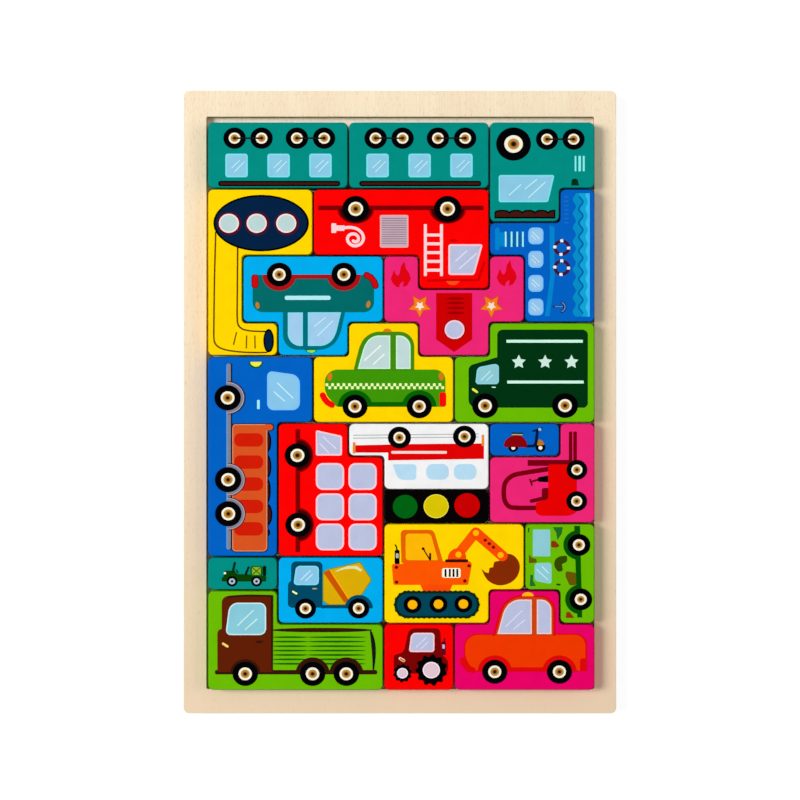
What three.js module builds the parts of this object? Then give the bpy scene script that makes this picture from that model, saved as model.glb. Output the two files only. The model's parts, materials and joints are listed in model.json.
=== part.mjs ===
// A wooden block puzzle: a shallow plywood tray filled by painted wooden blocks.
//
// The tray is two sheets glued face to face: a backing board, and a frame cut from one sheet with a
// window in it. The blocks stand loose in the window, on the backing board, and rise above the frame.
// Their outlines follow the lines of one grid of cells, so together they fill it edge to edge.
//
// Millimetres, +Z up. The origin is the middle of the tray's underside. +Y points to the head of the
// tray, where the blocks leave a free strip to get a fingernail in.

import * as THREE from 'three';

// The grid of cells that the block outlines follow, counted from the head of the tray
const COLUMNS = 11;
const ROWS = 17;
const COLUMN_PITCH = 16.85;
const ROW_PITCH = 16.0;

// The blocks
const BLOCK_THICKNESS = 8;
const BLOCK_GAP = 0.6;
const BLOCK_OUTWARD_RADIUS = 2.5;
const BLOCK_INWARD_RADIUS = 2.0;
const BLOCK_EDGE_CHAMFER = 0.3;

// The play between the outermost blocks and the window that holds them
const LEFT_CLEARANCE = 1.4;
const RIGHT_CLEARANCE = 0.5;
const HEAD_CLEARANCE = 3.7;
const FOOT_CLEARANCE = 0.5;

// The tray. Its window is cut a little off the middle, so no two rails are equal.
const BACKING_THICKNESS = 3;
const FRAME_THICKNESS = 3;
const LEFT_RAIL_WIDTH = 11.1;
const RIGHT_RAIL_WIDTH = 10.7;
const HEAD_RAIL_WIDTH = 12.6;
const FOOT_RAIL_WIDTH = 11.8;
const TRAY_CORNER_RADIUS = 2.6;
const WINDOW_CORNER_RADIUS = 0.6;

// Each quarter-round corner is drawn as twice this many straight facets
const ARC_DIVISIONS = 2;

// Sizes that follow from the ones above
const WINDOW_WIDTH = LEFT_CLEARANCE + COLUMNS * COLUMN_PITCH - BLOCK_GAP + RIGHT_CLEARANCE;
const WINDOW_LENGTH = HEAD_CLEARANCE + ROWS * ROW_PITCH - BLOCK_GAP + FOOT_CLEARANCE;
const TRAY_WIDTH = LEFT_RAIL_WIDTH + WINDOW_WIDTH + RIGHT_RAIL_WIDTH;
const TRAY_LENGTH = HEAD_RAIL_WIDTH + WINDOW_LENGTH + FOOT_RAIL_WIDTH;
const WINDOW_HEAD = TRAY_LENGTH / 2 - HEAD_RAIL_WIDTH;
const WINDOW_LEFT = -TRAY_WIDTH / 2 + LEFT_RAIL_WIDTH;
const GRID_LEFT = WINDOW_LEFT + LEFT_CLEARANCE - BLOCK_GAP / 2;
const GRID_HEAD = WINDOW_HEAD - HEAD_CLEARANCE + BLOCK_GAP / 2;

// Finishes
const BARE_WOOD = { color: 0xf2dcbc, roughness: 0.6 };
const TEAL_PAINT = { color: 0x058c82, roughness: 0.4 };
const YELLOW_PAINT = { color: 0xfed606, roughness: 0.4 };
const RED_PAINT = { color: 0xfa0605, roughness: 0.4 };
const BLUE_PAINT = { color: 0x0364c8, roughness: 0.4 };
const CYAN_PAINT = { color: 0x00acee, roughness: 0.4 };
const PINK_PAINT = { color: 0xf02882, roughness: 0.4 };
const MAGENTA_PAINT = { color: 0xe10266, roughness: 0.4 };
const LIME_PAINT = { color: 0x6aba05, roughness: 0.4 };
const BLACK_PAINT = { color: 0x0c0a0c, roughness: 0.4 };
const WHITE_PAINT = { color: 0xf3f3f6, roughness: 0.4 };

// Every block: its name, its paint, and its corners as [column line, row line] on the grid, listed
// counter-clockwise as seen from above
const BLOCKS = [
  ['coach_block_1', TEAL_PAINT, [[0, 0], [0, 2], [4, 2], [4, 0]]],
  ['coach_block_2', TEAL_PAINT, [[4, 0], [4, 2], [8, 2], [8, 0]]],
  ['locomotive_block', TEAL_PAINT, [[8, 0], [8, 3], [10, 3], [10, 2], [11, 2], [11, 0]]],
  ['submarine_block', YELLOW_PAINT,
    [[0, 2], [0, 7], [2, 7], [2, 6], [1, 6], [1, 4], [3, 4], [3, 2]]],
  ['fire_engine_block', RED_PAINT, [[3, 2], [3, 4], [6, 4], [6, 5], [8, 5], [8, 2]]],
  ['ship_block', BLUE_PAINT,
    [[10, 2], [10, 3], [8, 3], [8, 4], [9, 4], [9, 6], [11, 6], [11, 2]]],
  ['patrol_car_block', CYAN_PAINT,
    [[1, 4], [1, 6], [2, 6], [2, 7], [4, 7], [4, 6], [5, 6], [5, 4]]],
  ['rocket_block', PINK_PAINT,
    [[5, 4], [5, 6], [6, 6], [6, 7], [8, 7], [8, 6], [9, 6], [9, 4], [8, 4], [8, 5], [6, 5], [6, 4]]],
  ['taxi_block', YELLOW_PAINT,
    [[4, 6], [4, 7], [3, 7], [3, 9], [7, 9], [7, 7], [6, 7], [6, 6]]],
  ['lorry_block', LIME_PAINT, [[8, 6], [8, 7], [7, 7], [7, 9], [11, 9], [11, 6]]],
  ['haulage_truck_block', BLUE_PAINT, [[0, 7], [0, 13], [2, 13], [2, 9], [3, 9], [3, 7]]],
  ['bus_block', RED_PAINT, [[2, 9], [2, 13], [5, 13], [5, 10], [4, 10], [4, 9]]],
  ['ambulance_block', WHITE_PAINT, [[4, 9], [4, 10], [5, 10], [5, 11], [8, 11], [8, 9]]],
  ['traffic_light_block', BLACK_PAINT, [[5, 11], [5, 12], [8, 12], [8, 11]]],
  ['scooter_block', BLUE_PAINT, [[8, 9], [8, 10], [10, 10], [10, 9]]],
  ['forklift_block', PINK_PAINT, [[10, 9], [10, 10], [8, 10], [8, 12], [11, 12], [11, 9]]],
  ['excavator_block', YELLOW_PAINT, [[5, 12], [5, 15], [8, 15], [8, 14], [9, 14], [9, 12]]],
  ['field_truck_block', LIME_PAINT, [[9, 12], [9, 14], [10, 14], [10, 15], [11, 15], [11, 12]]],
  ['field_car_block', TEAL_PAINT, [[0, 13], [0, 14], [2, 14], [2, 13]]],
  ['mixer_truck_block', CYAN_PAINT, [[2, 13], [2, 15], [5, 15], [5, 13]]],
  ['farm_truck_block', LIME_PAINT, [[0, 14], [0, 17], [5, 17], [5, 15], [2, 15], [2, 14]]],
  ['tractor_block', RED_PAINT, [[5, 15], [5, 17], [7, 17], [7, 15]]],
  ['saloon_car_block', MAGENTA_PAINT,
    [[8, 14], [8, 15], [7, 15], [7, 17], [11, 17], [11, 15], [10, 15], [10, 14]]],
];

// Draws a closed outline with rounded corners into a path. The corners run counter-clockwise. Where the
// outline turns left the corner points outwards, and where it turns right the corner points inwards.
function roundCorners(path, corners, outwardRadius, inwardRadius) {
  corners.forEach((corner, index) => {
    const arriving = corner.clone().sub(corners.at(index - 1)).normalize();
    const leaving = corners[(index + 1) % corners.length].clone().sub(corner).normalize();
    const outward = arriving.cross(leaving) > 0;
    const radius = outward ? outwardRadius : inwardRadius;
    const centre = corner.clone().addScaledVector(arriving, -radius).addScaledVector(leaving, radius);
    path.absarc(
      centre.x,
      centre.y,
      radius,
      Math.atan2(-leaving.y, -leaving.x),
      Math.atan2(arriving.y, arriving.x),
      !outward,
    );
  });
  path.closePath();
  return path;
}

// Moves every side of an outline inwards by one distance. Its corners are square and counter-clockwise.
function insetCorners(corners, distance) {
  return corners.map((corner, index) => {
    const arriving = corner.clone().sub(corners.at(index - 1)).normalize();
    const leaving = corners[(index + 1) % corners.length].clone().sub(corner).normalize();
    const inwards = new THREE.Vector2(-arriving.y - leaving.y, arriving.x + leaving.x);
    return corner.clone().addScaledVector(inwards, distance);
  });
}

// The corners of a rectangle that reaches to the right and down from its left head corner
function rectangle(left, head, width, length) {
  return [
    new THREE.Vector2(left, head - length),
    new THREE.Vector2(left + width, head - length),
    new THREE.Vector2(left + width, head),
    new THREE.Vector2(left, head),
  ];
}

// A flat sheet of wood with the tray's rounded outline
function trayOutline() {
  const corners = rectangle(-TRAY_WIDTH / 2, TRAY_LENGTH / 2, TRAY_WIDTH, TRAY_LENGTH);
  return roundCorners(new THREE.Shape(), corners, TRAY_CORNER_RADIUS, TRAY_CORNER_RADIUS);
}

function makeMesh(name, geometry, finish) {
  const material = new THREE.MeshStandardMaterial({ ...finish, metalness: 0 });
  const mesh = new THREE.Mesh(geometry, material);
  mesh.name = name;
  return mesh;
}

function makeBackingBoard() {
  const geometry = new THREE.ExtrudeGeometry(trayOutline(), {
    depth: BACKING_THICKNESS,
    curveSegments: ARC_DIVISIONS,
    bevelEnabled: false,
  });
  return makeMesh('backing_board', geometry, BARE_WOOD);
}

function makeFrame() {
  const outline = trayOutline();
  const corners = rectangle(WINDOW_LEFT, WINDOW_HEAD, WINDOW_WIDTH, WINDOW_LENGTH);
  outline.holes.push(
    roundCorners(new THREE.Path(), corners, WINDOW_CORNER_RADIUS, WINDOW_CORNER_RADIUS),
  );
  const geometry = new THREE.ExtrudeGeometry(outline, {
    depth: FRAME_THICKNESS,
    curveSegments: ARC_DIVISIONS,
    bevelEnabled: false,
  });
  const mesh = makeMesh('frame', geometry, BARE_WOOD);
  mesh.position.z = BACKING_THICKNESS;
  return mesh;
}

// A block keeps half the gap clear on its own side of every grid line. A corner that points inwards is
// tighter than the neighbour's corner that fills it, so the gap widens a little round the bend.
function makeBlock(name, finish, gridCorners) {
  const corners = gridCorners.map(
    ([column, row]) => new THREE.Vector2(GRID_LEFT + column * COLUMN_PITCH, GRID_HEAD - row * ROW_PITCH),
  );
  const outline = roundCorners(
    new THREE.Shape(),
    insetCorners(corners, BLOCK_GAP / 2),
    BLOCK_OUTWARD_RADIUS,
    BLOCK_INWARD_RADIUS,
  );
  const geometry = new THREE.ExtrudeGeometry(outline, {
    depth: BLOCK_THICKNESS - 2 * BLOCK_EDGE_CHAMFER,
    curveSegments: ARC_DIVISIONS,
    bevelSize: BLOCK_EDGE_CHAMFER,
    bevelThickness: BLOCK_EDGE_CHAMFER,
    bevelOffset: -BLOCK_EDGE_CHAMFER,
    bevelSegments: 1,
  });
  const mesh = makeMesh(name, geometry, finish);
  mesh.position.z = BACKING_THICKNESS + BLOCK_EDGE_CHAMFER;
  return mesh;
}

const puzzle = new THREE.Group();
puzzle.add(makeBackingBoard());
puzzle.add(makeFrame());
for (const [name, finish, gridCorners] of BLOCKS) {
  puzzle.add(makeBlock(name, finish, gridCorners));
}

export default puzzle;
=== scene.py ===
# %% [markdown]
# # A wooden block puzzle
# The object is a shallow plywood tray full of loose printed blocks, photographed from straight above.
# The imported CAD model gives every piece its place. This lesson dresses it: plywood with its grain and
# plies, wooden blocks with rounded rims, and vehicles printed on the blocks in thin layers of ink.

import json
import math

import bmesh
import bpy
from mathutils import Matrix
from mathutils import Vector
from mathutils.geometry import interpolate_bezier


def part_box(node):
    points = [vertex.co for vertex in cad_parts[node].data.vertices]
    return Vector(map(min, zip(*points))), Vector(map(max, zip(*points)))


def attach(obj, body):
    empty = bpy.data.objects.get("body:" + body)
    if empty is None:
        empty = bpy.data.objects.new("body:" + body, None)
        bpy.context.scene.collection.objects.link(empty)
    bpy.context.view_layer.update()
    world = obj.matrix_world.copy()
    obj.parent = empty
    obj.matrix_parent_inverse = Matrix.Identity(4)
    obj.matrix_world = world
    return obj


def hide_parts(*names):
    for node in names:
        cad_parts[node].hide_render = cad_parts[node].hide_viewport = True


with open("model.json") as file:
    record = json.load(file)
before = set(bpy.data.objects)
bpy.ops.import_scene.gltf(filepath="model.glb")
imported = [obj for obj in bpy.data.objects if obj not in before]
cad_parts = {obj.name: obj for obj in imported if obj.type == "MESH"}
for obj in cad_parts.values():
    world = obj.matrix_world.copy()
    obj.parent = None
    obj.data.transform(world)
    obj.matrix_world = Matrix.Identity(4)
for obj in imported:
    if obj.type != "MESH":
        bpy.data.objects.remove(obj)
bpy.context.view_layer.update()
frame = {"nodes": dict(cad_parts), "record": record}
scene = bpy.context.scene
scene.view_settings.view_transform = "Standard"
MM = 0.001
print("CAD nodes:", len(frame["nodes"]))

# %% [markdown]
# ## The camera
# The photograph looks straight down with almost no convergence. An orthographic camera would be simpler,
# but the blocks stand 5 mm above the tray's frame and look a little larger than the frame does. So the
# lens is a long one, and that difference sets its distance. A camera with no turn already looks along
# -Z with +Y up, which is how the photograph shows the tray.

# %% Camera
CAMERA_HEIGHT = 640 * MM
CAMERA_X = 0.05 * MM
CAMERA_Y = 0.96 * MM
PICTURE_WIDTH = 385.4 * MM
SENSOR_WIDTH = 36
frame_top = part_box("frame")[1].z
camera_data = bpy.data.cameras.new("photo_camera")
camera_data.sensor_width = SENSOR_WIDTH
camera_data.lens = SENSOR_WIDTH * (CAMERA_HEIGHT - frame_top) / PICTURE_WIDTH
camera_data.clip_start = 0.01
camera_data.clip_end = 50
camera = bpy.data.objects.new("photo_camera", camera_data)
camera.location = (CAMERA_X, CAMERA_Y, CAMERA_HEIGHT)
scene.collection.objects.link(camera)
scene.camera = camera
print("lens", round(camera_data.lens, 2), "mm")

# %% [markdown]
# ## The lamps
# The blocks throw a soft shadow on the right rail, about 6 mm wide for a 5 mm step. A sun lamp would
# give it a hard edge, so the main light is a wide soft box far out to the left, at less than 40 degrees.
# The foot rail has a thin shadow too, so the box stands a little towards the head. The left rail gets
# a little darker towards the blocks, so a weaker and lower soft box stands on the right.

# %% Soft boxes
def hang_soft_box(name, place, size, energy):
    """A square lamp that faces the middle of the tray. Its place and size are in metres."""
    lamp_data = bpy.data.lights.new(name, "AREA")
    lamp_data.shape = "SQUARE"
    lamp_data.size = size
    lamp_data.energy = energy
    lamp = bpy.data.objects.new(name, lamp_data)
    lamp.location = place
    lamp.rotation_euler = (-Vector(place)).to_track_quat("-Z", "Y").to_euler()
    scene.collection.objects.link(lamp)
    print(name, "at", place, "gives", energy, "W")


hang_soft_box("left_soft_box", place=(-3.1, 0.5, 2.35), size=1.6, energy=150)
hang_soft_box("right_soft_box", place=(3.0, 0.3, 1.5), size=1.8, energy=36)

# %% [markdown]
# ## The pale room
# The gaps between the blocks are almost black, so little light comes from straight above: the room is
# bright at the horizon and dim overhead. With the lamps it lights a level surface to about 1. What the
# camera itself sees of the room is plain white.

# %% Room
HORIZON_LIGHT = 0.8
OVERHEAD_LIGHT = 0.12
ROOM_TINT = (1.0, 0.99, 0.97, 1)
BACKDROP_WHITE = (1, 1, 1, 1)
room = bpy.data.worlds.new("pale_room")
scene.world = room
room.use_nodes = True
room_nodes = room.node_tree.nodes
room_link = room.node_tree.links.new
room_light = room_nodes["Background"]
room_light.inputs["Color"].default_value = ROOM_TINT
gaze = room_nodes.new("ShaderNodeTexCoord")
gaze_parts = room_nodes.new("ShaderNodeSeparateXYZ")
dimming = room_nodes.new("ShaderNodeMapRange")
dimming.inputs["To Min"].default_value = HORIZON_LIGHT
dimming.inputs["To Max"].default_value = OVERHEAD_LIGHT
backdrop = room_nodes.new("ShaderNodeBackground")
backdrop.inputs["Color"].default_value = BACKDROP_WHITE
room_rays = room_nodes.new("ShaderNodeLightPath")
room_mix = room_nodes.new("ShaderNodeMixShader")
room_link(gaze.outputs["Generated"], gaze_parts.inputs["Vector"])
room_link(gaze_parts.outputs["Z"], dimming.inputs["Value"])
room_link(dimming.outputs["Result"], room_light.inputs["Strength"])
room_link(room_rays.outputs["Is Camera Ray"], room_mix.inputs["Fac"])
room_link(room_light.outputs["Background"], room_mix.inputs[1])
room_link(backdrop.outputs["Background"], room_mix.inputs[2])
room_link(room_mix.outputs["Shader"], room_nodes["World Output"].inputs["Surface"])
print("room light", HORIZON_LIGHT, "at the horizon and", OVERHEAD_LIGHT, "overhead")

# %% [markdown]
# ## The white floor
# The photograph's background is plain white. A floor lit only by the lamps would turn grey away from them,
# so what the camera sees of the floor is part glow and part lit surface. The lit part keeps the soft
# shadow of the tray. Light that bounces to the object sees an ordinary pale floor.

# %% Floor
FLOOR_REACH = 12
FLOOR_DROP = 0.2 * MM
floor_mesh = bpy.data.meshes.new("floor")
floor_bm = bmesh.new()
bmesh.ops.create_grid(floor_bm, x_segments=1, y_segments=1, size=FLOOR_REACH)
bmesh.ops.translate(floor_bm, verts=floor_bm.verts, vec=(0, 0, -FLOOR_DROP))
floor_bm.to_mesh(floor_mesh)
floor_bm.free()
floor = bpy.data.objects.new("floor", floor_mesh)
scene.collection.objects.link(floor)
print("floor laid", FLOOR_DROP / MM, "mm under the tray")

# %% Floor finish
PALE_FLOOR = (0.8, 0.8, 0.79, 1)
FLOOR_LIT_SHARE = (0.16, 0.16, 0.16, 1)
FLOOR_GLOW = 0.9
floor_finish = bpy.data.materials.new("white_floor")
floor_finish.use_nodes = True
floor_nodes = floor_finish.node_tree.nodes
floor_link = floor_finish.node_tree.links.new
floor_nodes.remove(floor_nodes["Principled BSDF"])
floor_rays = floor_nodes.new("ShaderNodeLightPath")
seen_or_glossy = floor_nodes.new("ShaderNodeMath")
seen_or_glossy.operation = "MAXIMUM"
seen_at_all = floor_nodes.new("ShaderNodeMath")
seen_at_all.operation = "MAXIMUM"
plain_floor = floor_nodes.new("ShaderNodeBsdfDiffuse")
plain_floor.inputs["Color"].default_value = PALE_FLOOR
lit_part = floor_nodes.new("ShaderNodeBsdfDiffuse")
lit_part.inputs["Color"].default_value = FLOOR_LIT_SHARE
glow_part = floor_nodes.new("ShaderNodeEmission")
glow_part.inputs["Strength"].default_value = FLOOR_GLOW
white_floor = floor_nodes.new("ShaderNodeAddShader")
floor_mix = floor_nodes.new("ShaderNodeMixShader")
floor_link(floor_rays.outputs["Is Camera Ray"], seen_or_glossy.inputs[0])
floor_link(floor_rays.outputs["Is Glossy Ray"], seen_or_glossy.inputs[1])
floor_link(seen_or_glossy.outputs["Value"], seen_at_all.inputs[0])
floor_link(floor_rays.outputs["Is Transmission Ray"], seen_at_all.inputs[1])
floor_link(lit_part.outputs["BSDF"], white_floor.inputs[0])
floor_link(glow_part.outputs["Emission"], white_floor.inputs[1])
floor_link(seen_at_all.outputs["Value"], floor_mix.inputs["Fac"])
floor_link(plain_floor.outputs["BSDF"], floor_mix.inputs[1])
floor_link(white_floor.outputs["Shader"], floor_mix.inputs[2])
floor_link(floor_mix.outputs["Shader"], floor_nodes["Material Output"].inputs["Surface"])
floor_mesh.materials.append(floor_finish)
print("floor glows at", FLOOR_GLOW)

# %% [markdown]
# ## Small tools for node materials
# Every finish here is a Principled shader with a few textures in front of it. Wiring each tree node by
# node would fill pages, so a small class holds the few moves that they share. Colours are written as
# they look on screen, from 0 to 255, and turned into the linear light that Blender works in.

# %% Colour tools
def linear(screen):
    """A screen colour (red, green, blue, each 0 to 255) as a linear colour with alpha."""
    parts = [channel / 255 for channel in screen]
    light = [p / 12.92 if p <= 0.04045 else ((p + 0.055) / 1.055) ** 2.4 for p in parts]
    return (*light, 1)


def tinted(screen, share, towards):
    """A screen colour moved a share of the way to another one."""
    return tuple(a + (b - a) * share for a, b in zip(screen, towards))


print("middle grey is", round(linear((128, 128, 128))[0], 3), "in linear light")

# %% Finish class
class Finish:
    """A material with its node tree, and short ways to add nodes to it."""

    def __init__(self, name):
        self.material = bpy.data.materials.new(name)
        self.material.use_nodes = True
        self.tree = self.material.node_tree
        self.shader = self.tree.nodes["Principled BSDF"]
        self.place = self.add("TexCoord")

    def add(self, kind):
        return self.tree.nodes.new("ShaderNode" + kind)

    def link(self, output, socket):
        self.tree.links.new(output, socket)

    def noise(self, stretch, detail=3, roughness=0.55):
        """Noise on Object coordinates. stretch gives the waves per metre along X, Y and Z."""
        mapping = self.add("Mapping")
        mapping.inputs["Scale"].default_value = stretch
        self.link(self.place.outputs["Object"], mapping.inputs["Vector"])
        texture = self.add("TexNoise")
        texture.inputs["Scale"].default_value = 1
        texture.inputs["Detail"].default_value = detail
        texture.inputs["Roughness"].default_value = roughness
        self.link(mapping.outputs["Vector"], texture.inputs["Vector"])
        return texture.outputs["Fac"]

    def spread(self, value, low, high, new_low=0, new_high=1):
        """Maps low..high to new_low..new_high and stops at both ends."""
        node = self.add("MapRange")
        node.inputs["From Min"].default_value = low
        node.inputs["From Max"].default_value = high
        node.inputs["To Min"].default_value = new_low
        node.inputs["To Max"].default_value = new_high
        self.link(value, node.inputs["Value"])
        return node.outputs["Result"]

    def mix(self, share, first, second):
        """Mixes two colours. Each is a screen colour or the output of another node."""
        # The Mix node repeats its sockets for each data type. Inputs 6 and 7 and output 2 are the colours.
        node = self.add("Mix")
        node.data_type = "RGBA"
        self.link(share, node.inputs["Factor"])
        for socket, colour in ((node.inputs[6], first), (node.inputs[7], second)):
            if isinstance(colour, tuple):
                socket.default_value = linear(colour)
            else:
                self.link(colour, socket)
        return node.outputs[2]

    def part(self, vector, axis):
        """One part, X, Y or Z, of a vector."""
        parts = self.add("SeparateXYZ")
        self.link(vector, parts.inputs["Vector"])
        return parts.outputs[axis]

    def facing(self):
        """How far the surface faces up or down: 1 on a level face and 0 on an upright one."""
        size = self.add("Math")
        size.operation = "ABSOLUTE"
        self.link(self.part(self.place.outputs["Normal"], "Z"), size.inputs[0])
        return size.outputs["Value"]

    def height(self):
        return self.part(self.place.outputs["Object"], "Z")

    def slope(self, turn, low, high):
        """Rises from 0 to 1 between two distances along a level line, turned from X by some degrees."""
        mapping = self.add("Mapping")
        mapping.inputs["Rotation"].default_value = (0, 0, -math.radians(turn))
        self.link(self.place.outputs["Object"], mapping.inputs["Vector"])
        return self.spread(self.part(mapping.outputs["Vector"], "X"), low, high)

    def close(self, colour, roughness, gloss, relief, depth, strength):
        """Wires the colour, the roughness, the gloss and the bump to the shader."""
        node = self.add("Bump")
        node.inputs["Strength"].default_value = strength
        node.inputs["Distance"].default_value = depth
        self.link(relief, node.inputs["Height"])
        self.link(node.outputs["Normal"], self.shader.inputs["Normal"])
        self.link(colour, self.shader.inputs["Base Color"])
        self.link(roughness, self.shader.inputs["Roughness"])
        self.shader.inputs["Specular IOR Level"].default_value = gloss
        return self.material


print("finish class ready")

# %% [markdown]
# ## Plywood
# The tray is cut from pale plywood. Its face shows fine upright flecks and soft bands, because the grain
# runs along the tray on all four rails. A picture of wood would have to be wrapped round every edge.
# Noise in space goes round by itself, and stretched along Y it gives both flecks and bands. On the cut
# edges the plies show as layers, the middle one darker, and the saw has toasted the wood a little.

# %% Face grain
LATE_WOOD = (196, 150, 96)
EARLY_WOOD = (255, 244, 222)
THREAD_BROWN = (170, 120, 70)
PORE_BROWN = (140, 96, 58)
PATCH_TAN = (238, 190, 140)
# The tan that painted shade darkens the face to, towards the foot and the right of the tray.
FALLOFF_SHADE_TAN = (190, 150, 122)


def face_grain(finish, face, threads):
    """The colour of a sanded plywood face, darkened towards the foot and the right by painted shade."""
    bands = finish.spread(finish.noise((70, 5, 20), detail=2), 0.35, 0.65)
    pores = finish.spread(finish.noise((2000, 380, 800), detail=1), 0.60, 0.70)
    patches = finish.spread(finish.noise((9, 9, 9), detail=2), 0.3, 0.7)
    # Painted shade: the face darkens towards the foot and the right of the tray, where the light falls off.
    falloff_shade = finish.slope(turn=-72, low=-0.12, high=0.16)
    colour = finish.mix(bands, tinted(face, 0.05, LATE_WOOD), tinted(face, 0.2, EARLY_WOOD))
    colour = finish.mix(finish.spread(threads, 0, 1, 0, 0.17), colour, tinted(face, 0.42, THREAD_BROWN))
    colour = finish.mix(finish.spread(pores, 0, 1, 0, 0.24), colour, tinted(face, 0.7, PORE_BROWN))
    colour = finish.mix(finish.spread(patches, 0, 1, 0, 0.18), colour, tinted(face, 0.12, PATCH_TAN))
    return finish.mix(finish.spread(falloff_shade, 0, 1, 0, 0.85), colour, tinted(face, 0.38, FALLOFF_SHADE_TAN))


print("face grain ready")

# %% Cut edges
TOAST_BROWN = (110, 72, 42)
END_GRAIN_BROWN = (92, 58, 32)
MIDDLE_PLY = ((0.30, 0.0), (0.34, 0.25), (0.66, 0.22), (0.70, 0.02))


def cut_edge(finish, face, low, high, toast):
    """The colour of a sawn edge between two heights, with a darker ply in the middle."""
    plies = finish.add("ValToRGB")
    stops = plies.color_ramp.elements
    for stop in stops:
        stop.color = linear(tinted(face, toast, TOAST_BROWN))
    for position, deeper in MIDDLE_PLY:
        stops.new(position).color = linear(tinted(face, min(1, toast + deeper), TOAST_BROWN))
    finish.link(finish.spread(finish.height(), low, high), plies.inputs["Fac"])
    end_grain = finish.spread(finish.noise((900, 900, 2400), detail=4), 0.35, 0.7, 0, 0.35)
    deepest = tinted(face, min(1, toast + 0.4), END_GRAIN_BROWN)
    return finish.mix(end_grain, plies.outputs["Color"], deepest)


print("the middle ply has", len(MIDDLE_PLY), "colour stops")

# %% Plywood finish
WOOD_GLOSS = 0.25
WOOD_FACE = (249, 230, 199)
WINDOW_FACE = (250, 204, 162)
BACKING_FACE = (255, 244, 222)


def plywood(name, node, face, toast):
    """Plywood for a sheet of the tray, from the colour of its face and how dark its cut edges are."""
    low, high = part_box(node)
    finish = Finish(name)
    threads = finish.spread(finish.noise((1300, 42, 200), detail=4), 0.38, 0.66)
    grain = face_grain(finish, face, threads)
    edge = cut_edge(finish, face, low.z, high.z, toast)
    colour = finish.mix(finish.spread(finish.facing(), 0.25, 0.75), edge, grain)
    roughness = finish.spread(threads, 0, 1, 0.52, 0.68)
    print(name, "with three plies in", round((high.z - low.z) / MM, 2), "mm")
    return finish.close(colour, roughness, WOOD_GLOSS, threads, depth=0.03 * MM, strength=0.35)


board_wood = plywood("backing_plywood", "backing_board", BACKING_FACE, toast=0.5)
frame_wood = plywood("frame_plywood", "frame", WOOD_FACE, toast=0.5)
window_wood = plywood("window_plywood", "frame", WINDOW_FACE, toast=0.3)

# %% [markdown]
# ## The tray
# The CAD sheets are exact, but their edges are knife sharp. Their meshes are loose triangles, which
# a bevel can't round. So each sheet is made again from its own section: a cut through the CAD node at
# mid height leaves its outline, which is filled, pulled up to the sheet's thickness and given a small
# round-over, as sanding does.

# %% Sections
TOLERANCE = 0.001 * MM
STRAIGHT_ANGLE = 0.02


def section(node):
    """A bmesh with the outline loops that a level cut through the middle of a CAD node leaves."""
    low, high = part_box(node)
    bm = bmesh.new()
    bm.from_mesh(frame["nodes"][node].data)
    bmesh.ops.remove_doubles(bm, verts=bm.verts, dist=TOLERANCE)
    bmesh.ops.bisect_plane(
        bm,
        geom=bm.verts[:] + bm.edges[:] + bm.faces[:],
        plane_co=(low + high) / 2,
        plane_no=(0, 0, 1),
        clear_inner=True,
        clear_outer=True,
    )
    bmesh.ops.remove_doubles(bm, verts=bm.verts, dist=TOLERANCE)
    ends = [v for v in bm.verts if len(v.link_edges) == 2]
    straight = [v for v in ends if v.calc_edge_angle(0) < STRAIGHT_ANGLE]
    bmesh.ops.dissolve_verts(bm, verts=straight)
    return bm


print("sections are merged within", TOLERANCE / MM, "mm")

# %% Sheets and rims
def thicken(bm, low, high):
    """Pulls a level sheet up from low to high and leaves it closed, with its faces pointing outwards."""
    for vert in bm.verts:
        vert.co.z = low
    raised = bmesh.ops.extrude_face_region(bm, geom=bm.faces[:])
    top = [part for part in raised["geom"] if isinstance(part, bmesh.types.BMVert)]
    bmesh.ops.translate(bm, verts=top, vec=(0, 0, high - low))
    bmesh.ops.recalc_face_normals(bm, faces=bm.faces[:])


def rim_edges(bm, height):
    """The edges between the level face at a height and the sides."""
    found = []
    for edge in bm.edges:
        level = all(abs(v.co.z - height) < TOLERANCE for v in edge.verts)
        upright = any(abs(face.normal.z) < 0.5 for face in edge.link_faces)
        if level and upright:
            found.append(edge)
    return found


def round_rim(bm, height, radius, segments):
    bm.normal_update()
    bmesh.ops.bevel(
        bm,
        geom=rim_edges(bm, height),
        offset=radius,
        affect="EDGES",
        segments=segments,
        profile=0.5,
        material=-1,
        clamp_overlap=True,
    )
    bm.normal_update()


print("sheet and rim tools ready")

# %% Piece tools
def smooth_sides(bm):
    """Shades everything smooth but the level faces."""
    for face in bm.faces:
        face.smooth = abs(face.normal.z) < 0.999


def make_piece(name, bm, finishes, body):
    """Turns a bmesh into a piece of the object that rides on a body."""
    mesh = bpy.data.meshes.new(name)
    bm.to_mesh(mesh)
    bm.free()
    for finish in finishes:
        mesh.materials.append(finish)
    piece = bpy.data.objects.new(name, mesh)
    scene.collection.objects.link(piece)
    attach(piece, body)
    return piece


print("piece tools ready")

# %% Backing board and frame
SHEET_RIM_ROUND = 0.25 * MM
SHEET_FOOT_ROUND = 0.125 * MM
EDGE_MARGIN = 5 * MM


def is_window_wall(face, low, high):
    """Whether a face stands upright and well inside the tray's outline."""
    spot = face.calc_center_median()
    from_outline = min(spot.x - low.x, high.x - spot.x, spot.y - low.y, high.y - spot.y)
    return from_outline >= EDGE_MARGIN and abs(face.normal.z) < 0.9


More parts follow.
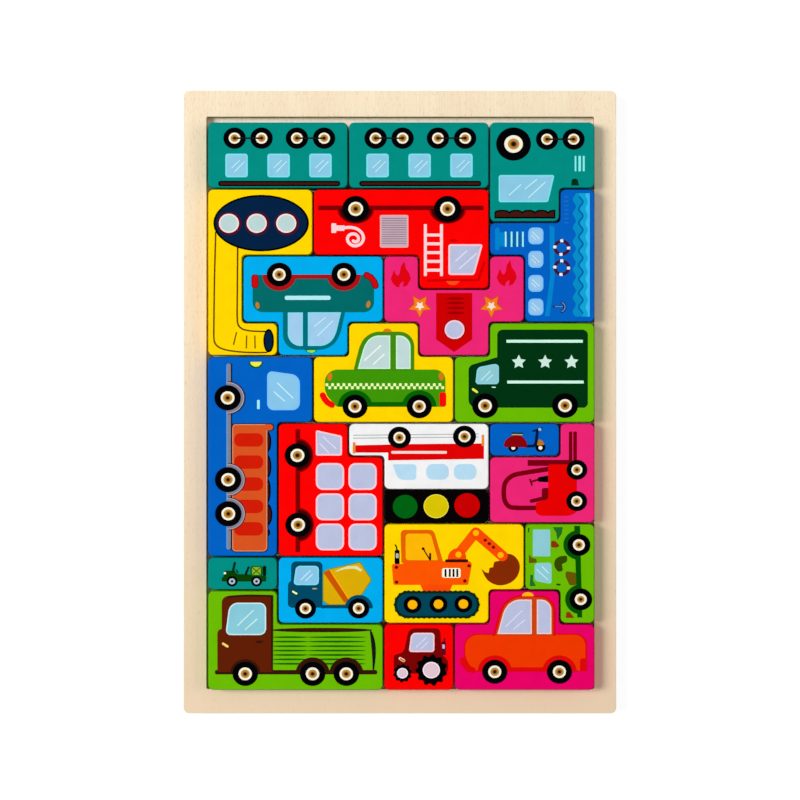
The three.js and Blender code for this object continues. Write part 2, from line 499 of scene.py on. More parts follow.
def make_sheet(node, name, finishes):
    """A sheet of the tray. Where it has two finishes, the second is for the walls of its window."""
    low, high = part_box(node)
    bm = section(node)
    if node == "frame":
        bmesh.ops.bridge_loops(bm, edges=bm.edges[:])
    else:
        bmesh.ops.edgeloop_fill(bm, edges=bm.edges[:])
    thicken(bm, low.z, high.z)
    round_rim(bm, high.z, SHEET_RIM_ROUND, segments=3)
    round_rim(bm, low.z, SHEET_FOOT_ROUND, segments=2)
    for face in bm.faces:
        face.material_index = 1 if is_window_wall(face, low, high) else 0
    smooth_sides(bm)
    piece = make_piece(name, bm, finishes, "tray")
    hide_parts(node)
    print(name, len(piece.data.polygons), "faces")


make_sheet("backing_board", "backing_sheet", [board_wood])
make_sheet("frame", "window_sheet", [frame_wood, window_wood])

# %% [markdown]
# ## The blocks
# Each block is solid wood, painted in one colour. Its sides throw that colour on the rails beside them, so
# they are painted too, and only the underside is left bare here. A thin dark line just below the rim and a
# darker foot are painted shade, which makes the gaps between the blocks look black. The blocks come from
# their own CAD sections too, so they fit the tray and each other as the CAD does.

# %% Painted finish
BLACK = (0, 0, 0)
RIM_SHADE_BROWN = (16, 7, 1)
FOOT_SHADE_BROWN = (30, 13, 3)
FOOT_SHADE_DEPTH = 1.5 * MM
PAINT_GLOSS = 0.012


def paint_side_shade(finish, colour, ground):
    """Paints shade on a block's cut sides: a dark line below the rim, and a darker foot from where the
    frame ends.
    """
    facing = finish.facing()
    # Painted shade: a dark line on the steep part of the rim.
    rim_shade = finish.spread(facing, 0.93, 0.6, 0, 0.85)
    colour = finish.mix(rim_shade, colour, tinted(ground, 0.92, RIM_SHADE_BROWN))
    # Painted shade: the sides darken below the frame's top, deep in the gaps.
    foot_shade = finish.spread(finish.height(), frame_top, frame_top - FOOT_SHADE_DEPTH, 0, 0.9)
    foot = finish.mix(foot_shade, ground, tinted(ground, 0.85, FOOT_SHADE_BROWN))
    return finish.mix(finish.spread(facing, 0.4, 0.1), colour, foot)


def painted(name, ground, side_shaded=False):
    """Satin colour on wood, slightly uneven over a faint grain. side_shaded paints shade on its cut sides.
    """
    finish = Finish(name)
    clouds = finish.spread(finish.noise((160, 160, 160), detail=3), 0.3, 0.7)
    grains = finish.spread(finish.noise((2200, 2200, 2200), detail=2), 0.35, 0.65)
    fibres = finish.noise((900, 90, 300), detail=3)
    colour = finish.mix(clouds, tinted(ground, 0.03, BLACK), ground)
    colour = finish.mix(finish.spread(grains, 0, 1, 0, 0.1), colour, tinted(ground, 0.1, BLACK))
    if side_shaded:
        colour = paint_side_shade(finish, colour, ground)
    roughness = finish.spread(clouds, 0, 1, 0.4, 0.48)
    return finish.close(colour, roughness, PAINT_GLOSS, fibres, depth=0.02 * MM, strength=0.15)


print("paint gloss", PAINT_GLOSS)

# %% Grounds
GROUNDS = {
    "teal_paint": (2, 141, 131),
    "yellow_paint": (255, 214, 0),
    "red_paint": (253, 2, 2),
    "blue_paint": (2, 97, 196),
    "cyan_paint": (1, 172, 238),
    "pink_paint": (238, 38, 118),
    "magenta_paint": (233, 2, 104),
    "lime_paint": (107, 187, 3),
    "black_paint": (5, 3, 4),
    "white_paint": (243, 243, 244),
}
ground_finish = {}
for slot, ground in GROUNDS.items():
    # Every ground gets painted shade on its cut sides.
    ground_finish[slot] = painted(slot.replace("paint", "ground"), ground, side_shaded=True)
print("grounds:", len(ground_finish))

# %% Bare finish
RING_TAN = (186, 142, 94)
RING_PALE = (208, 168, 120)


def bare_block_wood():
    """The bare underside of the blocks: close-grained wood."""
    finish = Finish("block_wood")
    threads = finish.spread(finish.noise((300, 60, 1500), detail=4), 0.35, 0.68)
    rings = finish.spread(finish.noise((120, 20, 160), detail=2), 0.35, 0.65)
    colour = finish.mix(rings, RING_TAN, RING_PALE)
    colour = finish.mix(finish.spread(threads, 0, 1, 0, 0.45), colour, PORE_BROWN)
    roughness = finish.spread(threads, 0, 1, 0.5, 0.66)
    return finish.close(colour, roughness, WOOD_GLOSS, threads, depth=0.04 * MM, strength=0.35)


under_finish = bare_block_wood()
print("underside:", under_finish.name)

# %% Block bodies
BLOCK_RIM_ROUND = 0.6 * MM
BLOCK_FOOT_ROUND = 0.4 * MM
slot_of_node = {row["node"]: row["material_slot"] for row in frame["record"]["subparts"]}
body_of_node = {n: b for b, ns in frame["record"]["behaviour"]["bodies"].items() for n in ns}


def make_block(node):
    low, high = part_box(node)
    bm = section(node)
    bmesh.ops.edgeloop_fill(bm, edges=bm.edges[:])
    thicken(bm, low.z, high.z)
    round_rim(bm, high.z, BLOCK_RIM_ROUND, segments=4)
    round_rim(bm, low.z, BLOCK_FOOT_ROUND, segments=2)
    for face in bm.faces:
        face.material_index = 1 if face.normal.z < -0.1 else 0
    smooth_sides(bm)
    slot = slot_of_node[node]
    name = node.replace("_block", "_wood")
    piece = make_piece(name, bm, [ground_finish[slot], under_finish], body_of_node[node])
    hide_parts(node)


block_nodes = [node for node in slot_of_node if "_block" in node]
for node in block_nodes:
    make_block(node)
print("blocks:", len(block_nodes))

# %% [markdown]
# ## Inks
# A picture could be painted as one image, but its edges would blur close up. So the vehicles are flat
# colours laid over each other, as a screen printer does it. Each picture stirs the inks that it needs
# first, and later pictures may take them from the shelf again.

# %% Ink shelf
shelf = {}
ink_finish = {}


def stir(**tones):
    """Puts inks on the shelf, each under its name with its screen colour."""
    shelf.update(tones)


def ink(name):
    """The material of an ink, made the first time that it is used."""
    if name not in ink_finish:
        ink_finish[name] = painted("ink_" + name, shelf[name])
    return ink_finish[name]


print("shelf ready")

# %% [markdown]
# ## Sheets and slips
# A sheet collects the colour patches of one block. Each patch is a thin closed slip of ink that stands a
# fortieth of a millimetre above what it overlaps, so its edge stays sharp at any size. A slip starts as a
# flat face in millimetres. It is pulled up to its level, which is one above the highest slip that its box
# overlaps. A picture is drawn upright from the lower left corner of the block's cells, and the whole sheet
# is then turned to the way that the block lies in the tray.

# %% Sheet class
HALF_GAP = 0.3 * MM
INK_SINK = 0.05
INK_STEP = 0.025
DISC_SQUEEZE = 0.955
PRINT_SHIFT = Vector((-0.3 * MM, 0.2 * MM, 0))


def overlap(one, other):
    apart = one[2] <= other[0] or other[2] <= one[0] or one[3] <= other[1] or other[3] <= one[1]
    return not apart


class Sheet:
    """The printed picture of one block. turn is how far it is turned counter-clockwise, in degrees."""

    def __init__(self, block, turn):
        low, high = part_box(block)
        left, right = low.x - HALF_GAP, high.x + HALF_GAP
        foot, head = low.y - HALF_GAP, high.y + HALF_GAP
        corner = {0: (left, foot), 90: (right, foot), 180: (right, head), 270: (left, head)}[turn]
        at = Matrix.Translation(Vector((*corner, high.z - INK_SINK * MM)) + PRINT_SHIFT)
        self.place = at @ Matrix.Rotation(math.radians(turn), 4, "Z") @ Matrix.Scale(MM, 4)
        self.squeeze = (1, DISC_SQUEEZE) if turn in (0, 180) else (DISC_SQUEEZE, 1)
        self.block = block
        self.bm = bmesh.new()
        self.inks = []
        self.laid = []

    def coat(self, faces, ink_name):
        if ink_name not in self.inks:
            self.inks.append(ink_name)
        for face in faces:
            face.material_index = self.inks.index(ink_name)

    def lay(self, flat):
        """Pulls a coated flat shape up to its level and adds it to the sheet."""
        us = [v.co.x for v in flat.verts]
        vs = [v.co.y for v in flat.verts]
        box = (min(us), min(vs), max(us), max(vs))
        under = [level for other, level in self.laid if overlap(box, other)]
        level = 1 + max(under, default=0)
        self.laid.append((box, level))
        raised = bmesh.ops.extrude_face_region(flat, geom=flat.faces[:])
        top = [part for part in raised["geom"] if isinstance(part, bmesh.types.BMVert)]
        bmesh.ops.translate(flat, verts=top, vec=(0, 0, INK_SINK + level * INK_STEP))
        bmesh.ops.recalc_face_normals(flat, faces=flat.faces[:])
        bmesh.ops.transform(flat, matrix=self.place, verts=flat.verts)
        slip = bpy.data.meshes.new("slip")
        flat.to_mesh(slip)
        flat.free()
        self.bm.from_mesh(slip)
        bpy.data.meshes.remove(slip)

    def stamp(self, flat, ink_name):
        """Coats a flat shape with one ink and lays it."""
        self.coat(flat.faces, ink_name)
        self.lay(flat)

    def finish(self):
        """Makes the sheet a piece that rides on its block."""
        name = self.block.replace("_block", "_print")
        make_piece(name, self.bm, [ink(n) for n in self.inks], body_of_node[self.block])
        top = max(level for box, level in self.laid)
        print(name, len(self.laid), "slips,", len(self.inks), "inks,", top, "levels")


print("sheet class ready")

# %% [markdown]
# ## Round slips
# Wheels, lamps, portholes and arches are all round. A circle operator makes the discs and ovals, and a cut
# through one leaves half of it. Spinning a short edge makes an arch. Moving every second point of a circle
# inwards makes a star.

# %% Discs and ovals
def oval(sheet, ink_name, u, v, half_u, half_v, tilt=0, segments=40):
    flat = bmesh.new()
    spot = Matrix.Translation((u, v, 0)) @ Matrix.Rotation(math.radians(tilt), 4, "Z")
    spot = spot @ Matrix.Diagonal((half_u, half_v, 1, 1))
    bmesh.ops.create_circle(flat, cap_ends=True, radius=1, segments=segments, matrix=spot)
    sheet.stamp(flat, ink_name)


def disc(sheet, ink_name, u, v, radius, segments=40):
    oval(sheet, ink_name, u, v, radius * sheet.squeeze[0], radius * sheet.squeeze[1], 0, segments)


def dots(sheet, ink_name, centres, radius, segments=20):
    """Several equal discs that lie side by side and share one level."""
    flat = bmesh.new()
    size = Matrix.Diagonal((radius * sheet.squeeze[0], radius * sheet.squeeze[1], 1, 1))
    for u, v in centres:
        spot = Matrix.Translation((u, v, 0)) @ size
        bmesh.ops.create_circle(flat, cap_ends=True, radius=1, segments=segments, matrix=spot)
    sheet.stamp(flat, ink_name)


def dome(sheet, ink_name, u, v, half_u, half_v, towards):
    """Half an oval. towards is the angle that its round side faces, in degrees."""
    flat = bmesh.new()
    spot = Matrix.Diagonal((half_u, half_v, 1, 1))
    bmesh.ops.create_circle(flat, cap_ends=True, radius=1, segments=48, matrix=spot)
    angle = math.radians(towards)
    bmesh.ops.bisect_plane(
        flat,
        geom=flat.verts[:] + flat.edges[:] + flat.faces[:],
        plane_co=(0, 0, 0),
        plane_no=(math.cos(angle), math.sin(angle), 0),
        clear_inner=True,
    )
    bmesh.ops.translate(flat, vec=(u, v, 0), verts=flat.verts)
    sheet.stamp(flat, ink_name)


print("discs are squeezed to", DISC_SQUEEZE, "of their width")

# %% Arches and stars
def arch(sheet, ink_name, u, v, outer, inner, start=0, sweep=180, rise=1):
    """A band of a ring, from a start angle through a sweep, in degrees. rise flattens it."""
    flat = bmesh.new()
    near = flat.verts.new((inner, 0, 0))
    far = flat.verts.new((outer, 0, 0))
    edge = flat.edges.new((near, far))
    turn = Matrix.Rotation(math.radians(start), 3, "Z")
    bmesh.ops.rotate(flat, verts=[near, far], cent=(0, 0, 0), matrix=turn)
    bmesh.ops.spin(
        flat,
        geom=[near, far, edge],
        cent=(0, 0, 0),
        axis=(0, 0, 1),
        angle=math.radians(sweep),
        steps=max(6, round(sweep / 8)),
        use_merge=sweep == 360,
    )
    bmesh.ops.scale(flat, vec=(sheet.squeeze[0], sheet.squeeze[1] * rise, 1), verts=flat.verts)
    bmesh.ops.translate(flat, vec=(u, v, 0), verts=flat.verts)
    flat.normal_update()
    sheet.stamp(flat, ink_name)


def star(sheet, ink_name, u, v, outer, inner, points=5, lean=90, blunt=1):
    """A star. lean is the angle of its first point. With blunt at 2 its points are wide, as on a cog."""
    flat = bmesh.new()
    made = bmesh.ops.create_circle(flat, cap_ends=True, radius=outer, segments=points * 2 * blunt)
    for index, vert in enumerate(made["verts"]):
        if index // blunt % 2:
            vert.co *= inner / outer
    first = made["verts"][0].co
    turn = math.radians(lean) - math.atan2(first.y, first.x)
    bmesh.ops.rotate(flat, verts=flat.verts, cent=(0, 0, 0), matrix=Matrix.Rotation(turn, 3, "Z"))
    bmesh.ops.translate(flat, vec=(u, v, 0), verts=flat.verts)
    sheet.stamp(flat, ink_name)


print("arches and stars ready")

# %% [markdown]
# ## Patches and panes
# A patch is a face through a few points, and a vertex bevel rounds its corners. A panel is a patch with
# four square sides. A window pane is one patch whose rim is inset and inked differently.

# %% Patches
def round_corners(flat, verts, sizes):
    """Rounds the corners of a flat face. sizes is one length for all of them, or one for each."""
    if not isinstance(sizes, (list, tuple)):
        sizes = [sizes] * len(verts)
    for vert, size in zip(verts, sizes):
        if size > 0:
            bmesh.ops.bevel(
                flat,
                geom=[vert],
                offset=size,
                affect="VERTICES",
                segments=max(3, min(8, round(size * 2.5))),
                profile=0.5,
                material=-1,
                clamp_overlap=True,
            )


def flat_patch(points, corners):
    flat = bmesh.new()
    verts = [flat.verts.new((u, v, 0)) for u, v in points]
    flat.faces.new(verts)
    round_corners(flat, verts, corners)
    flat.normal_update()
    return flat


def patch(sheet, ink_name, points, corners=0):
    """A free shape through the points, counter-clockwise or clockwise."""
    sheet.stamp(flat_patch(points, corners), ink_name)


def box_points(left, low, right, high):
    return [(left, low), (right, low), (right, high), (left, high)]


def panel(sheet, ink_name, left, low, right, high, corners=0):
    patch(sheet, ink_name, box_points(left, low, right, high), corners)


print("patches and panels ready")

# %% Panes
def pane(sheet, edge_ink, glass_ink, points, corners=0, edge=0.75):
    """A window pane: glass inside an edge of another ink."""
    flat = flat_patch(points, corners)
    sheet.coat(flat.faces, glass_ink)
    ring = bmesh.ops.inset_region(
        flat,
        faces=flat.faces[:],
        thickness=edge,
        use_boundary=True,
        use_even_offset=True,
    )
    sheet.coat(ring["faces"], edge_ink)
    sheet.lay(flat)


print("panes ready")

# %% [markdown]
# ## Strokes
# A stroke has one width and round ends. A curve object with a bevel would be round as a wire is, and
# a print is flat. So a row of edges is extruded in place, and each point and its twin then move apart to
# both sides. A curve here is only a longer list of points, for a stroke or a patch.

# %% Strokes
TWIN_REACH = 1e-6
SHARPEST_MITRE = 0.5
END_ROUND = 0.48


def line(sheet, ink_name, points, width):
    path = [Vector((u, v, 0)) for u, v in points]
    ahead = [(b - a).normalized() for a, b in zip(path, path[1:])]
    path[0] -= ahead[0] * width / 2
    path[-1] += ahead[-1] * width / 2
    flat = bmesh.new()
    spine = [flat.verts.new(spot) for spot in path]
    edges = [flat.edges.new(ends) for ends in zip(spine, spine[1:])]
    bmesh.ops.extrude_edge_only(flat, edges=edges)
    ends = []
    for index, vert in enumerate(spine):
        before = ahead[max(index - 1, 0)]
        after = ahead[min(index, len(ahead) - 1)]
        along = (before + after).normalized()
        across = Vector((-along.y, along.x, 0)) * width / 2 / max(along.dot(before), SHARPEST_MITRE)
        twin = [e.other_vert(vert) for e in vert.link_edges if e.calc_length() < TWIN_REACH][0]
        vert.co -= across
        twin.co += across
        if index in (0, len(spine) - 1):
            ends += [vert, twin]
    round_corners(flat, ends, width * END_ROUND)
    sheet.stamp(flat, ink_name)


def glints(sheet, ink_name, strokes, width=0.5):
    for start, end in strokes:
        line(sheet, ink_name, [start, end], width)


def curve(points, steps=6):
    """A smooth curve through the points, as a longer list of points."""
    knots = [Vector((u, v, 0)) for u, v in points]
    ends = [knots[0], *knots, knots[-1]]
    along = [(after - before).normalized() for before, after in zip(ends, ends[2:])]
    found = []
    for index, (start, end) in enumerate(zip(knots, knots[1:])):
        reach = (end - start).length / 3
        leave = start + along[index] * reach
        arrive = end - along[index + 1] * reach
        found += interpolate_bezier(start, leave, arrive, end, steps)[:-1]
    return [(spot.x, spot.y) for spot in found + [knots[-1]]]


print("strokes and curves ready")

# %% [markdown]
# ## Wheels
# Almost every vehicle has the same wheel: a black tyre, a pale ring, a tan centre that gets browner
# inwards, and a dark core. Its parts are shares of the tyre's radius, so one function prints them all.

# %% Wheels
stir(
    tyre=(3, 2, 5),
    hub_white=(248, 242, 222),
    hub_tan=(188, 142, 68),
    hub_brown=(148, 94, 26),
    hub_core=(42, 13, 2),
)


def wheel(sheet, u, v, radius, hub=0.52, tan=0.35, core=0.125):
    brown = (tan + core) / 2.3
    disc(sheet, "tyre", u, v, radius, 56)
    disc(sheet, "hub_white", u, v, radius * hub, 44)
    disc(sheet, "hub_tan", u, v, radius * tan, 36)
    disc(sheet, "hub_brown", u, v, radius * brown, 28)
    disc(sheet, "hub_core", u, v, radius * core, 20)


print("inks on the shelf:", len(shelf))

# %% [markdown]
# ## The coaches
# Two equal coaches follow the locomotive. Each has a dark roof bar, three windows and two pairs of wheels
# with a coupling rod. One function prints both, because a printer would use the same screen twice.

# %% Coaches
stir(
    roof_brown=(66, 24, 16),
    sky_edge=(126, 225, 244),
    sky_glass=(138, 202, 229),
    sky_glint=(196, 236, 250),
    rod=(20, 24, 22),
)


def print_coach(block):
    sheet = Sheet(block, 180)
    pane(sheet, "tyre", "roof_brown", box_points(3.6, 28.5, 61.9, 31.1), 1.1, 0.7)
    for left in (7.7, 27.7, 47.8):
        pane(sheet, "sky_edge", "sky_glass", box_points(left, 15.5, left + 10.7, 26.8), 1.2)
        strokes = [((left + 1.6, 19.3), (left + 6.3, 24.2)), ((left + 3.9, 18.7), (left + 7.6, 22.3))]
        glints(sheet, "sky_glint", strokes, 0.45)
    for near, far in ((11.3, 24.3), (41.2, 54.1)):
        wheel(sheet, near, 8.1, 5.35)
        wheel(sheet, far, 8.1, 5.35)
        line(sheet, "rod", [(near, 8.1), (far, 8.1)], 0.75)
    sheet.finish()


print_coach("coach_block_1")
print_coach("coach_block_2")

# %% [markdown]
# ## The locomotive
# The locomotive has a scalloped roof edge, a slanted cab window, three vents and a short chimney. Its
# rear wheel is much larger than the two that share a rod. The roof could be a bar with a row of ovals
# below it, but its dark line would then run through. So the roof is one patch, and between two notches
# its edge follows half an oval.

# %% Locomotive
stir(
    stack_green=(0, 46, 22),
    vent=(140, 240, 240),
)
NOTCHES = (16.0, 22.2, 28.5, 34.5, 40.6, 47.8)
ROOF_LEFT = 18.7
ROOF_RIGHT = 47.8


def scallop(u, notch, rise):
    """The height at u of a row of half ovals between the notches."""
    start, end = [pair for pair in zip(NOTCHES, NOTCHES[1:]) if pair[0] <= u <= pair[1]][0]
    across = 2 * (u - start) / (end - start) - 1
    return notch - rise * math.sqrt(1 - across ** 2)


def spaced(start, end, steps):
    """Values at equal distances, from the start to the end."""
    return [start + step * (end - start) / steps for step in range(steps + 1)]


sheet = Sheet("locomotive_block", 180)
eaves = spaced(ROOF_RIGHT, ROOF_LEFT, 90)
roof = [(u, scallop(u, 43.5, 1.2)) for u in eaves]
patch(sheet, "tyre", roof + [(ROOF_LEFT, 46.5), (ROOF_RIGHT, 46.5)])
tiles_left = ROOF_LEFT + 0.6
tiles_right = ROOF_RIGHT - 0.6
tiles = [(u, scallop(u, 44.6, 1.6)) for u in eaves if tiles_left < u < tiles_right]
patch(sheet, "roof_brown", tiles + [(tiles_left, 45.7), (tiles_right, 45.7)])
cab = [(19.1, 25.7), (45.8, 25.7), (45.8, 38.7), (22.2, 38.7)]
pane(sheet, "sky_edge", "sky_glass", cab, 1.0)
strokes = [((23.6, 29.2), (31.5, 36.5)), ((27.7, 27.9), (33.2, 32.4)), ((35.3, 30.4), (40.8, 35.3))]
glints(sheet, "sky_glint", strokes, 0.55)
patch(sheet, "stack_green", [(8.2, 27.5), (10.8, 27.5), (11.2, 30.7), (7.4, 30.7)], [0.8, 0.8, 0, 0])
for left, right in ((4.7, 5.6), (6.5, 7.7), (8.7, 9.5)):
    panel(sheet, "vent", left, 16.5, right, 24.0, 0.35)
wheel(sheet, 38.7, 10.9, 8.3, hub=0.53, tan=0.33, core=0.13)
wheel(sheet, 10.0, 8.6, 5.3)
wheel(sheet, 22.7, 8.6, 5.3)
line(sheet, "rod", [(10.0, 8.6), (22.7, 8.6)], 0.75)
sheet.finish()

# %% [markdown]
# ## The submarine
# A navy hull with three portholes lies across the top of the hook-shaped block. A pipe runs down its leg
# and bends to an open mouth. The pipe has no fill of its own, so it needs no patch: two thin curves on
# the yellow ground draw it.

# %% Submarine
stir(
    pipe_line=(90, 52, 6),
    navy=(4, 33, 67),
    porthole_ring=(88, 8, 34),
    porthole_rim=(250, 226, 222),
    porthole_glass=(187, 214, 214),
)
sheet = Sheet("submarine_block", 0)
outer_line = [(4.3, 59), (3.7, 36), (3.4, 12), (3.5, 7.6), (4.4, 5.2), (7, 3.4), (12, 2.2)]
outer_line += [(20, 1.5), (28.6, 1.5)]
inner_line = [(14.8, 51.5), (14.6, 30), (14.6, 17), (15.2, 14.4), (17, 12.7), (21, 11.8), (28, 11.5)]
line(sheet, "pipe_line", curve(outer_line), 0.7)
line(sheet, "pipe_line", curve(inner_line), 0.7)
ribs = [((12.8, 5.3), (14.2, 11.0)), ((18.9, 3.6), (19.1, 9.4)), ((23.1, 3.6), (23.0, 9.4))]
glints(sheet, "pipe_line", ribs, 0.5)
oval(sheet, "tyre", 29.6, 7.1, 2.5, 5.6)
oval(sheet, "navy", 29.6, 7.1, 1.8, 4.7)
oval(sheet, "tyre", 26.0, 63.3, 22.8, 13.5, 0, 72)
oval(sheet, "navy", 26.0, 63.3, 21.9, 12.6, 0, 72)
for u in (10.6, 23.9, 38.0):
    disc(sheet, "porthole_ring", u + 0.2, 63.1, 5.8)
    disc(sheet, "porthole_rim", u, 63.2, 4.8)
    disc(sheet, "porthole_glass", u, 63.2, 4.05)
sheet.finish()

# %% [markdown]
# ## The fire engine
# The longest red block carries a ladder, a slatted locker and a coiled hose. Rings inside each other
# would look like a coil at first, but a hose has two ends, so it is one stroke whose points wind
# inwards. Dark halos over the tyres and one axle line sit low in the picture.

# %% Fire engine
stir(
    dark_red=(128, 0, 3),
    halo_red=(150, 0, 3),
    arch_red=(70, 0, 3),
    roof_red=(208, 0, 3),
    signal_orange=(252, 76, 20),
    lilac_edge=(252, 205, 216),
    lilac_glass=(186, 194, 224),
    lilac_glint=(222, 220, 246),
    hose_pink=(253, 214, 218),
    grille_edge=(230, 172, 177),
    grille_grey=(200, 174, 188),
    grille_line=(146, 118, 132),
)
sheet = Sheet("fire_engine_block", 180)
panel(sheet, "dark_red", 2.5, 8.3, 81.6, 10.5, 0.6)
for u in (19.7, 63.6):
    arch(sheet, "halo_red", u, 9.9, 8.8, 0.5, rise=0.84)
    arch(sheet, "arch_red", u, 9.9, 7.9, 0.5, rise=0.9)
    wheel(sheet, u, 9.9, 6.5, hub=0.54, tan=0.38, core=0.13)
line(sheet, "roof_red", [(2.2, 35.5), (5.0, 43.9), (28.8, 44.1)], 1.1)
patch(sheet, "signal_orange", [(13.8, 44.4), (20.5, 44.4), (18.8, 46.3), (15.6, 46.3)], [0, 0, 1, 1])
cab = [(2.8, 26.8), (19.3, 26.8), (19.3, 41.5), (6.9, 41.5)]
pane(sheet, "lilac_edge", "lilac_glass", cab, 1.1, 0.85)
glints(sheet, "lilac_glint", [((5.9, 31.3), (14.1, 38.5)), ((10.5, 30.0), (15.7, 34.8))], 0.7)
oval(sheet, "roof_red", 16.8, 25.0, 2.0, 0.6)
print("fire engine so far:", len(sheet.laid), "slips")

# %% Fire engine's gear
panel(sheet, "hose_pink", 21.9, 17.2, 23.3, 42.0, 0.3)
panel(sheet, "hose_pink", 29.6, 17.2, 31.0, 42.0, 0.3)
for v in (39.2, 35.0, 30.8, 26.6, 22.4):
    panel(sheet, "hose_pink", 23.0, v - 0.7, 29.9, v + 0.7)
pane(sheet, "grille_edge", "grille_grey", box_points(38.4, 12.8, 52.0, 28.4), 0.8, 0.7)
for step in range(12):
    panel(sheet, "grille_line", 39.3, 14.3 + step * 1.08, 51.1, 14.7 + step * 1.08)
coil = [(69.4, 18.9), (65.6, 18.8), (62.4, 19.8), (60.4, 21.9), (59.9, 24.2), (60.8, 26.2), (62.7, 27.4)]
coil += [(64.7, 27.5), (66.5, 26.5), (67.5, 24.7), (67.1, 22.9), (65.5, 21.9), (63.6, 22.1), (62.4, 23.4)]
coil += [(62.4, 24.9), (63.6, 25.7), (64.8, 25.2)]
line(sheet, "hose_pink", curve(coil, 5), 1.45)
panel(sheet, "hose_pink", 69.0, 17.8, 73.2, 20.4, 0.2)
panel(sheet, "hose_pink", 72.9, 16.8, 75.2, 21.4, 0.3)
sheet.finish()

# %% [markdown]
# ## The ship
# The ship lies on its side in the tray, so its sea runs along one edge of the block. The sea's border and
# the line inside it are waves. Their points lie on a sine curve, because arches would meet in corners.
# The lifebuoys are rings with four pale bands.

# %% Ship's sea
stir(
    sea=(6, 141, 201),
    sea_light=(14, 166, 216),
    sea_foam=(60, 188, 242),
    sea_line=(3, 96, 168),
    ship_dash=(30, 112, 204),
    ship_band=(4, 132, 207),
    buoy=(66, 20, 52),
    buoy_white=(242, 240, 252),
    ship_edge=(122, 196, 254),
    ship_glass=(152, 198, 236),
    ship_pale=(160, 238, 252),
    anchor=(14, 52, 108),
    anchor_pale=(118, 158, 204),
)
WAVE_LENGTH = 6.7
WAVE_START = 0.4
SEA_LEFT = 2.4
SEA_RIGHT = 61.4
SEA_FOOT = 48.3


def wave(u, middle_v, rise):
    return middle_v + rise * math.sin(2 * math.pi * (u - WAVE_START) / WAVE_LENGTH)


sheet = Sheet("ship_block", 270)
across = spaced(SEA_LEFT, SEA_RIGHT, 70)
sea_foot = [(SEA_RIGHT, SEA_FOOT), (SEA_LEFT, SEA_FOOT)]
border = [(u, wave(u, 40.9, 0.75)) for u in across]
swell = [(u, wave(u + 2.2, 44.0, 1.0)) for u in across]
foam = [(u, wave(u + 2.2, 46.8, 0.55)) for u in across]
patch(sheet, "sea", border + sea_foot)
patch(sheet, "sea_light", swell + sea_foot)
patch(sheet, "sea_foam", foam + sea_foot)
line(sheet, "sea_line", swell[2:-2], 0.75)
print("sea:", len(sheet.laid), "slips with", len(across), "points across")

# %% Ship's hull
for step in range(7):
    panel(sheet, "ship_dash", 3.9 + step * 2.05, 36.0, 4.5 + step * 2.05, 38.1)
band = [(17.6, 29.0), (42, 29.3), (53, 28.0), (61.2, 26.8)]
band += [(61.2, 29.0), (53, 30.3), (42, 31.5), (18.6, 31.4)]
patch(sheet, "ship_band", band, 0.3)
for u in (28.4, 38.0):
    arch(sheet, "buoy", u, 34.9, 4.05, 2.45, 0, 360)
    for shift_u, shift_v in ((-3.25, 0), (3.25, -0.4), (0.2, 3.2), (-0.3, -3.3)):
        mark_u = u + shift_u
        mark_v = 34.9 + shift_v
        panel(sheet, "buoy_white", mark_u - 0.7, mark_v - 0.75, mark_u + 0.7, mark_v + 0.75, 0.25)
for u in (22.8, 34.0, 45.5, 56.8):
    pane(sheet, "ship_edge", "ship_glass", box_points(u - 4.0, 18.9, u + 4.0, 26.1), 2.3, 0.8)
    strokes = [((u - 1.8, 20.9), (u + 1.4, 24.2)), ((u - 0.2, 20.5), (u + 1.9, 22.6))]
    glints(sheet, "sky_glint", strokes, 0.4)
panel(sheet, "sea_line", 21.1, 7.8, 27.8, 16.6)
for v in (16.3, 13.6, 10.9, 8.1):
    panel(sheet, "ship_pale", 20.8, v - 0.42, 28.0, v + 0.42)
panel(sheet, "ship_band", 21.1, 4.8, 27.8, 7.5)
panel(sheet, "ship_band", 18.8, 3.0, 29.7, 5.2, 0.9)
line(sheet, "anchor", [(56.6, 31.0), (56.7, 36.2)], 1.0)
arch(sheet, "anchor", 56.8, 34.0, 3.1, 1.8, 10, 160)
arch(sheet, "anchor_pale", 56.8, 34.0, 2.65, 2.25, 20, 140)
line(sheet, "anchor_pale", [(56.6, 31.8), (56.7, 35.2)], 0.4)
sheet.finish()

# %% [markdown]
# ## The patrol car
# A saloon seen from the side: a long body, a rounded cabin with two panes, a lamp on the roof, and red
# arches, sill and bumpers. Body and cabin are patches with a size for each corner, because a panel with
# equal corners would look the same at front and back. A plain pale stripe runs along its side.

# %% Patrol car
stir(
    patrol_teal=(2, 106, 103),
    patrol_frame=(0, 110, 122),
    patrol_glass=(160, 204, 238),
    lamp_green=(0, 92, 34),
    lamp_lime=(146, 224, 88),
    patrol_stripe=(178, 236, 246),
    sill_red=(168, 18, 22),
    bumper_line=(84, 14, 40),
    bumper_red=(206, 10, 12),
    patrol_lamp=(196, 122, 38),
)
sheet = Sheet("patrol_car_block", 180)
patch(sheet, "patrol_teal", box_points(4.3, 9.5, 62.3, 27.3), [1.5, 0.5, 5, 5])
cabin = [(18.0, 26.6), (47.8, 26.6), (47.8, 45.2), (25.0, 45.2), (20.5, 38.2)]
patch(sheet, "patrol_frame", cabin, [0, 0, 7, 5, 3])
panel(sheet, "patrol_teal", 17.0, 25.9, 48.6, 27.2)
front = [(20.0, 27.3), (35.9, 27.3), (35.9, 43.4), (26.0, 43.4), (22.6, 38.0)]
pane(sheet, "sky_edge", "patrol_glass", front, [0, 0, 0, 4, 2], 0.5)
pane(sheet, "sky_edge", "patrol_glass", box_points(38.3, 27.4, 45.5, 43.4), [0, 0, 6, 0], 0.5)
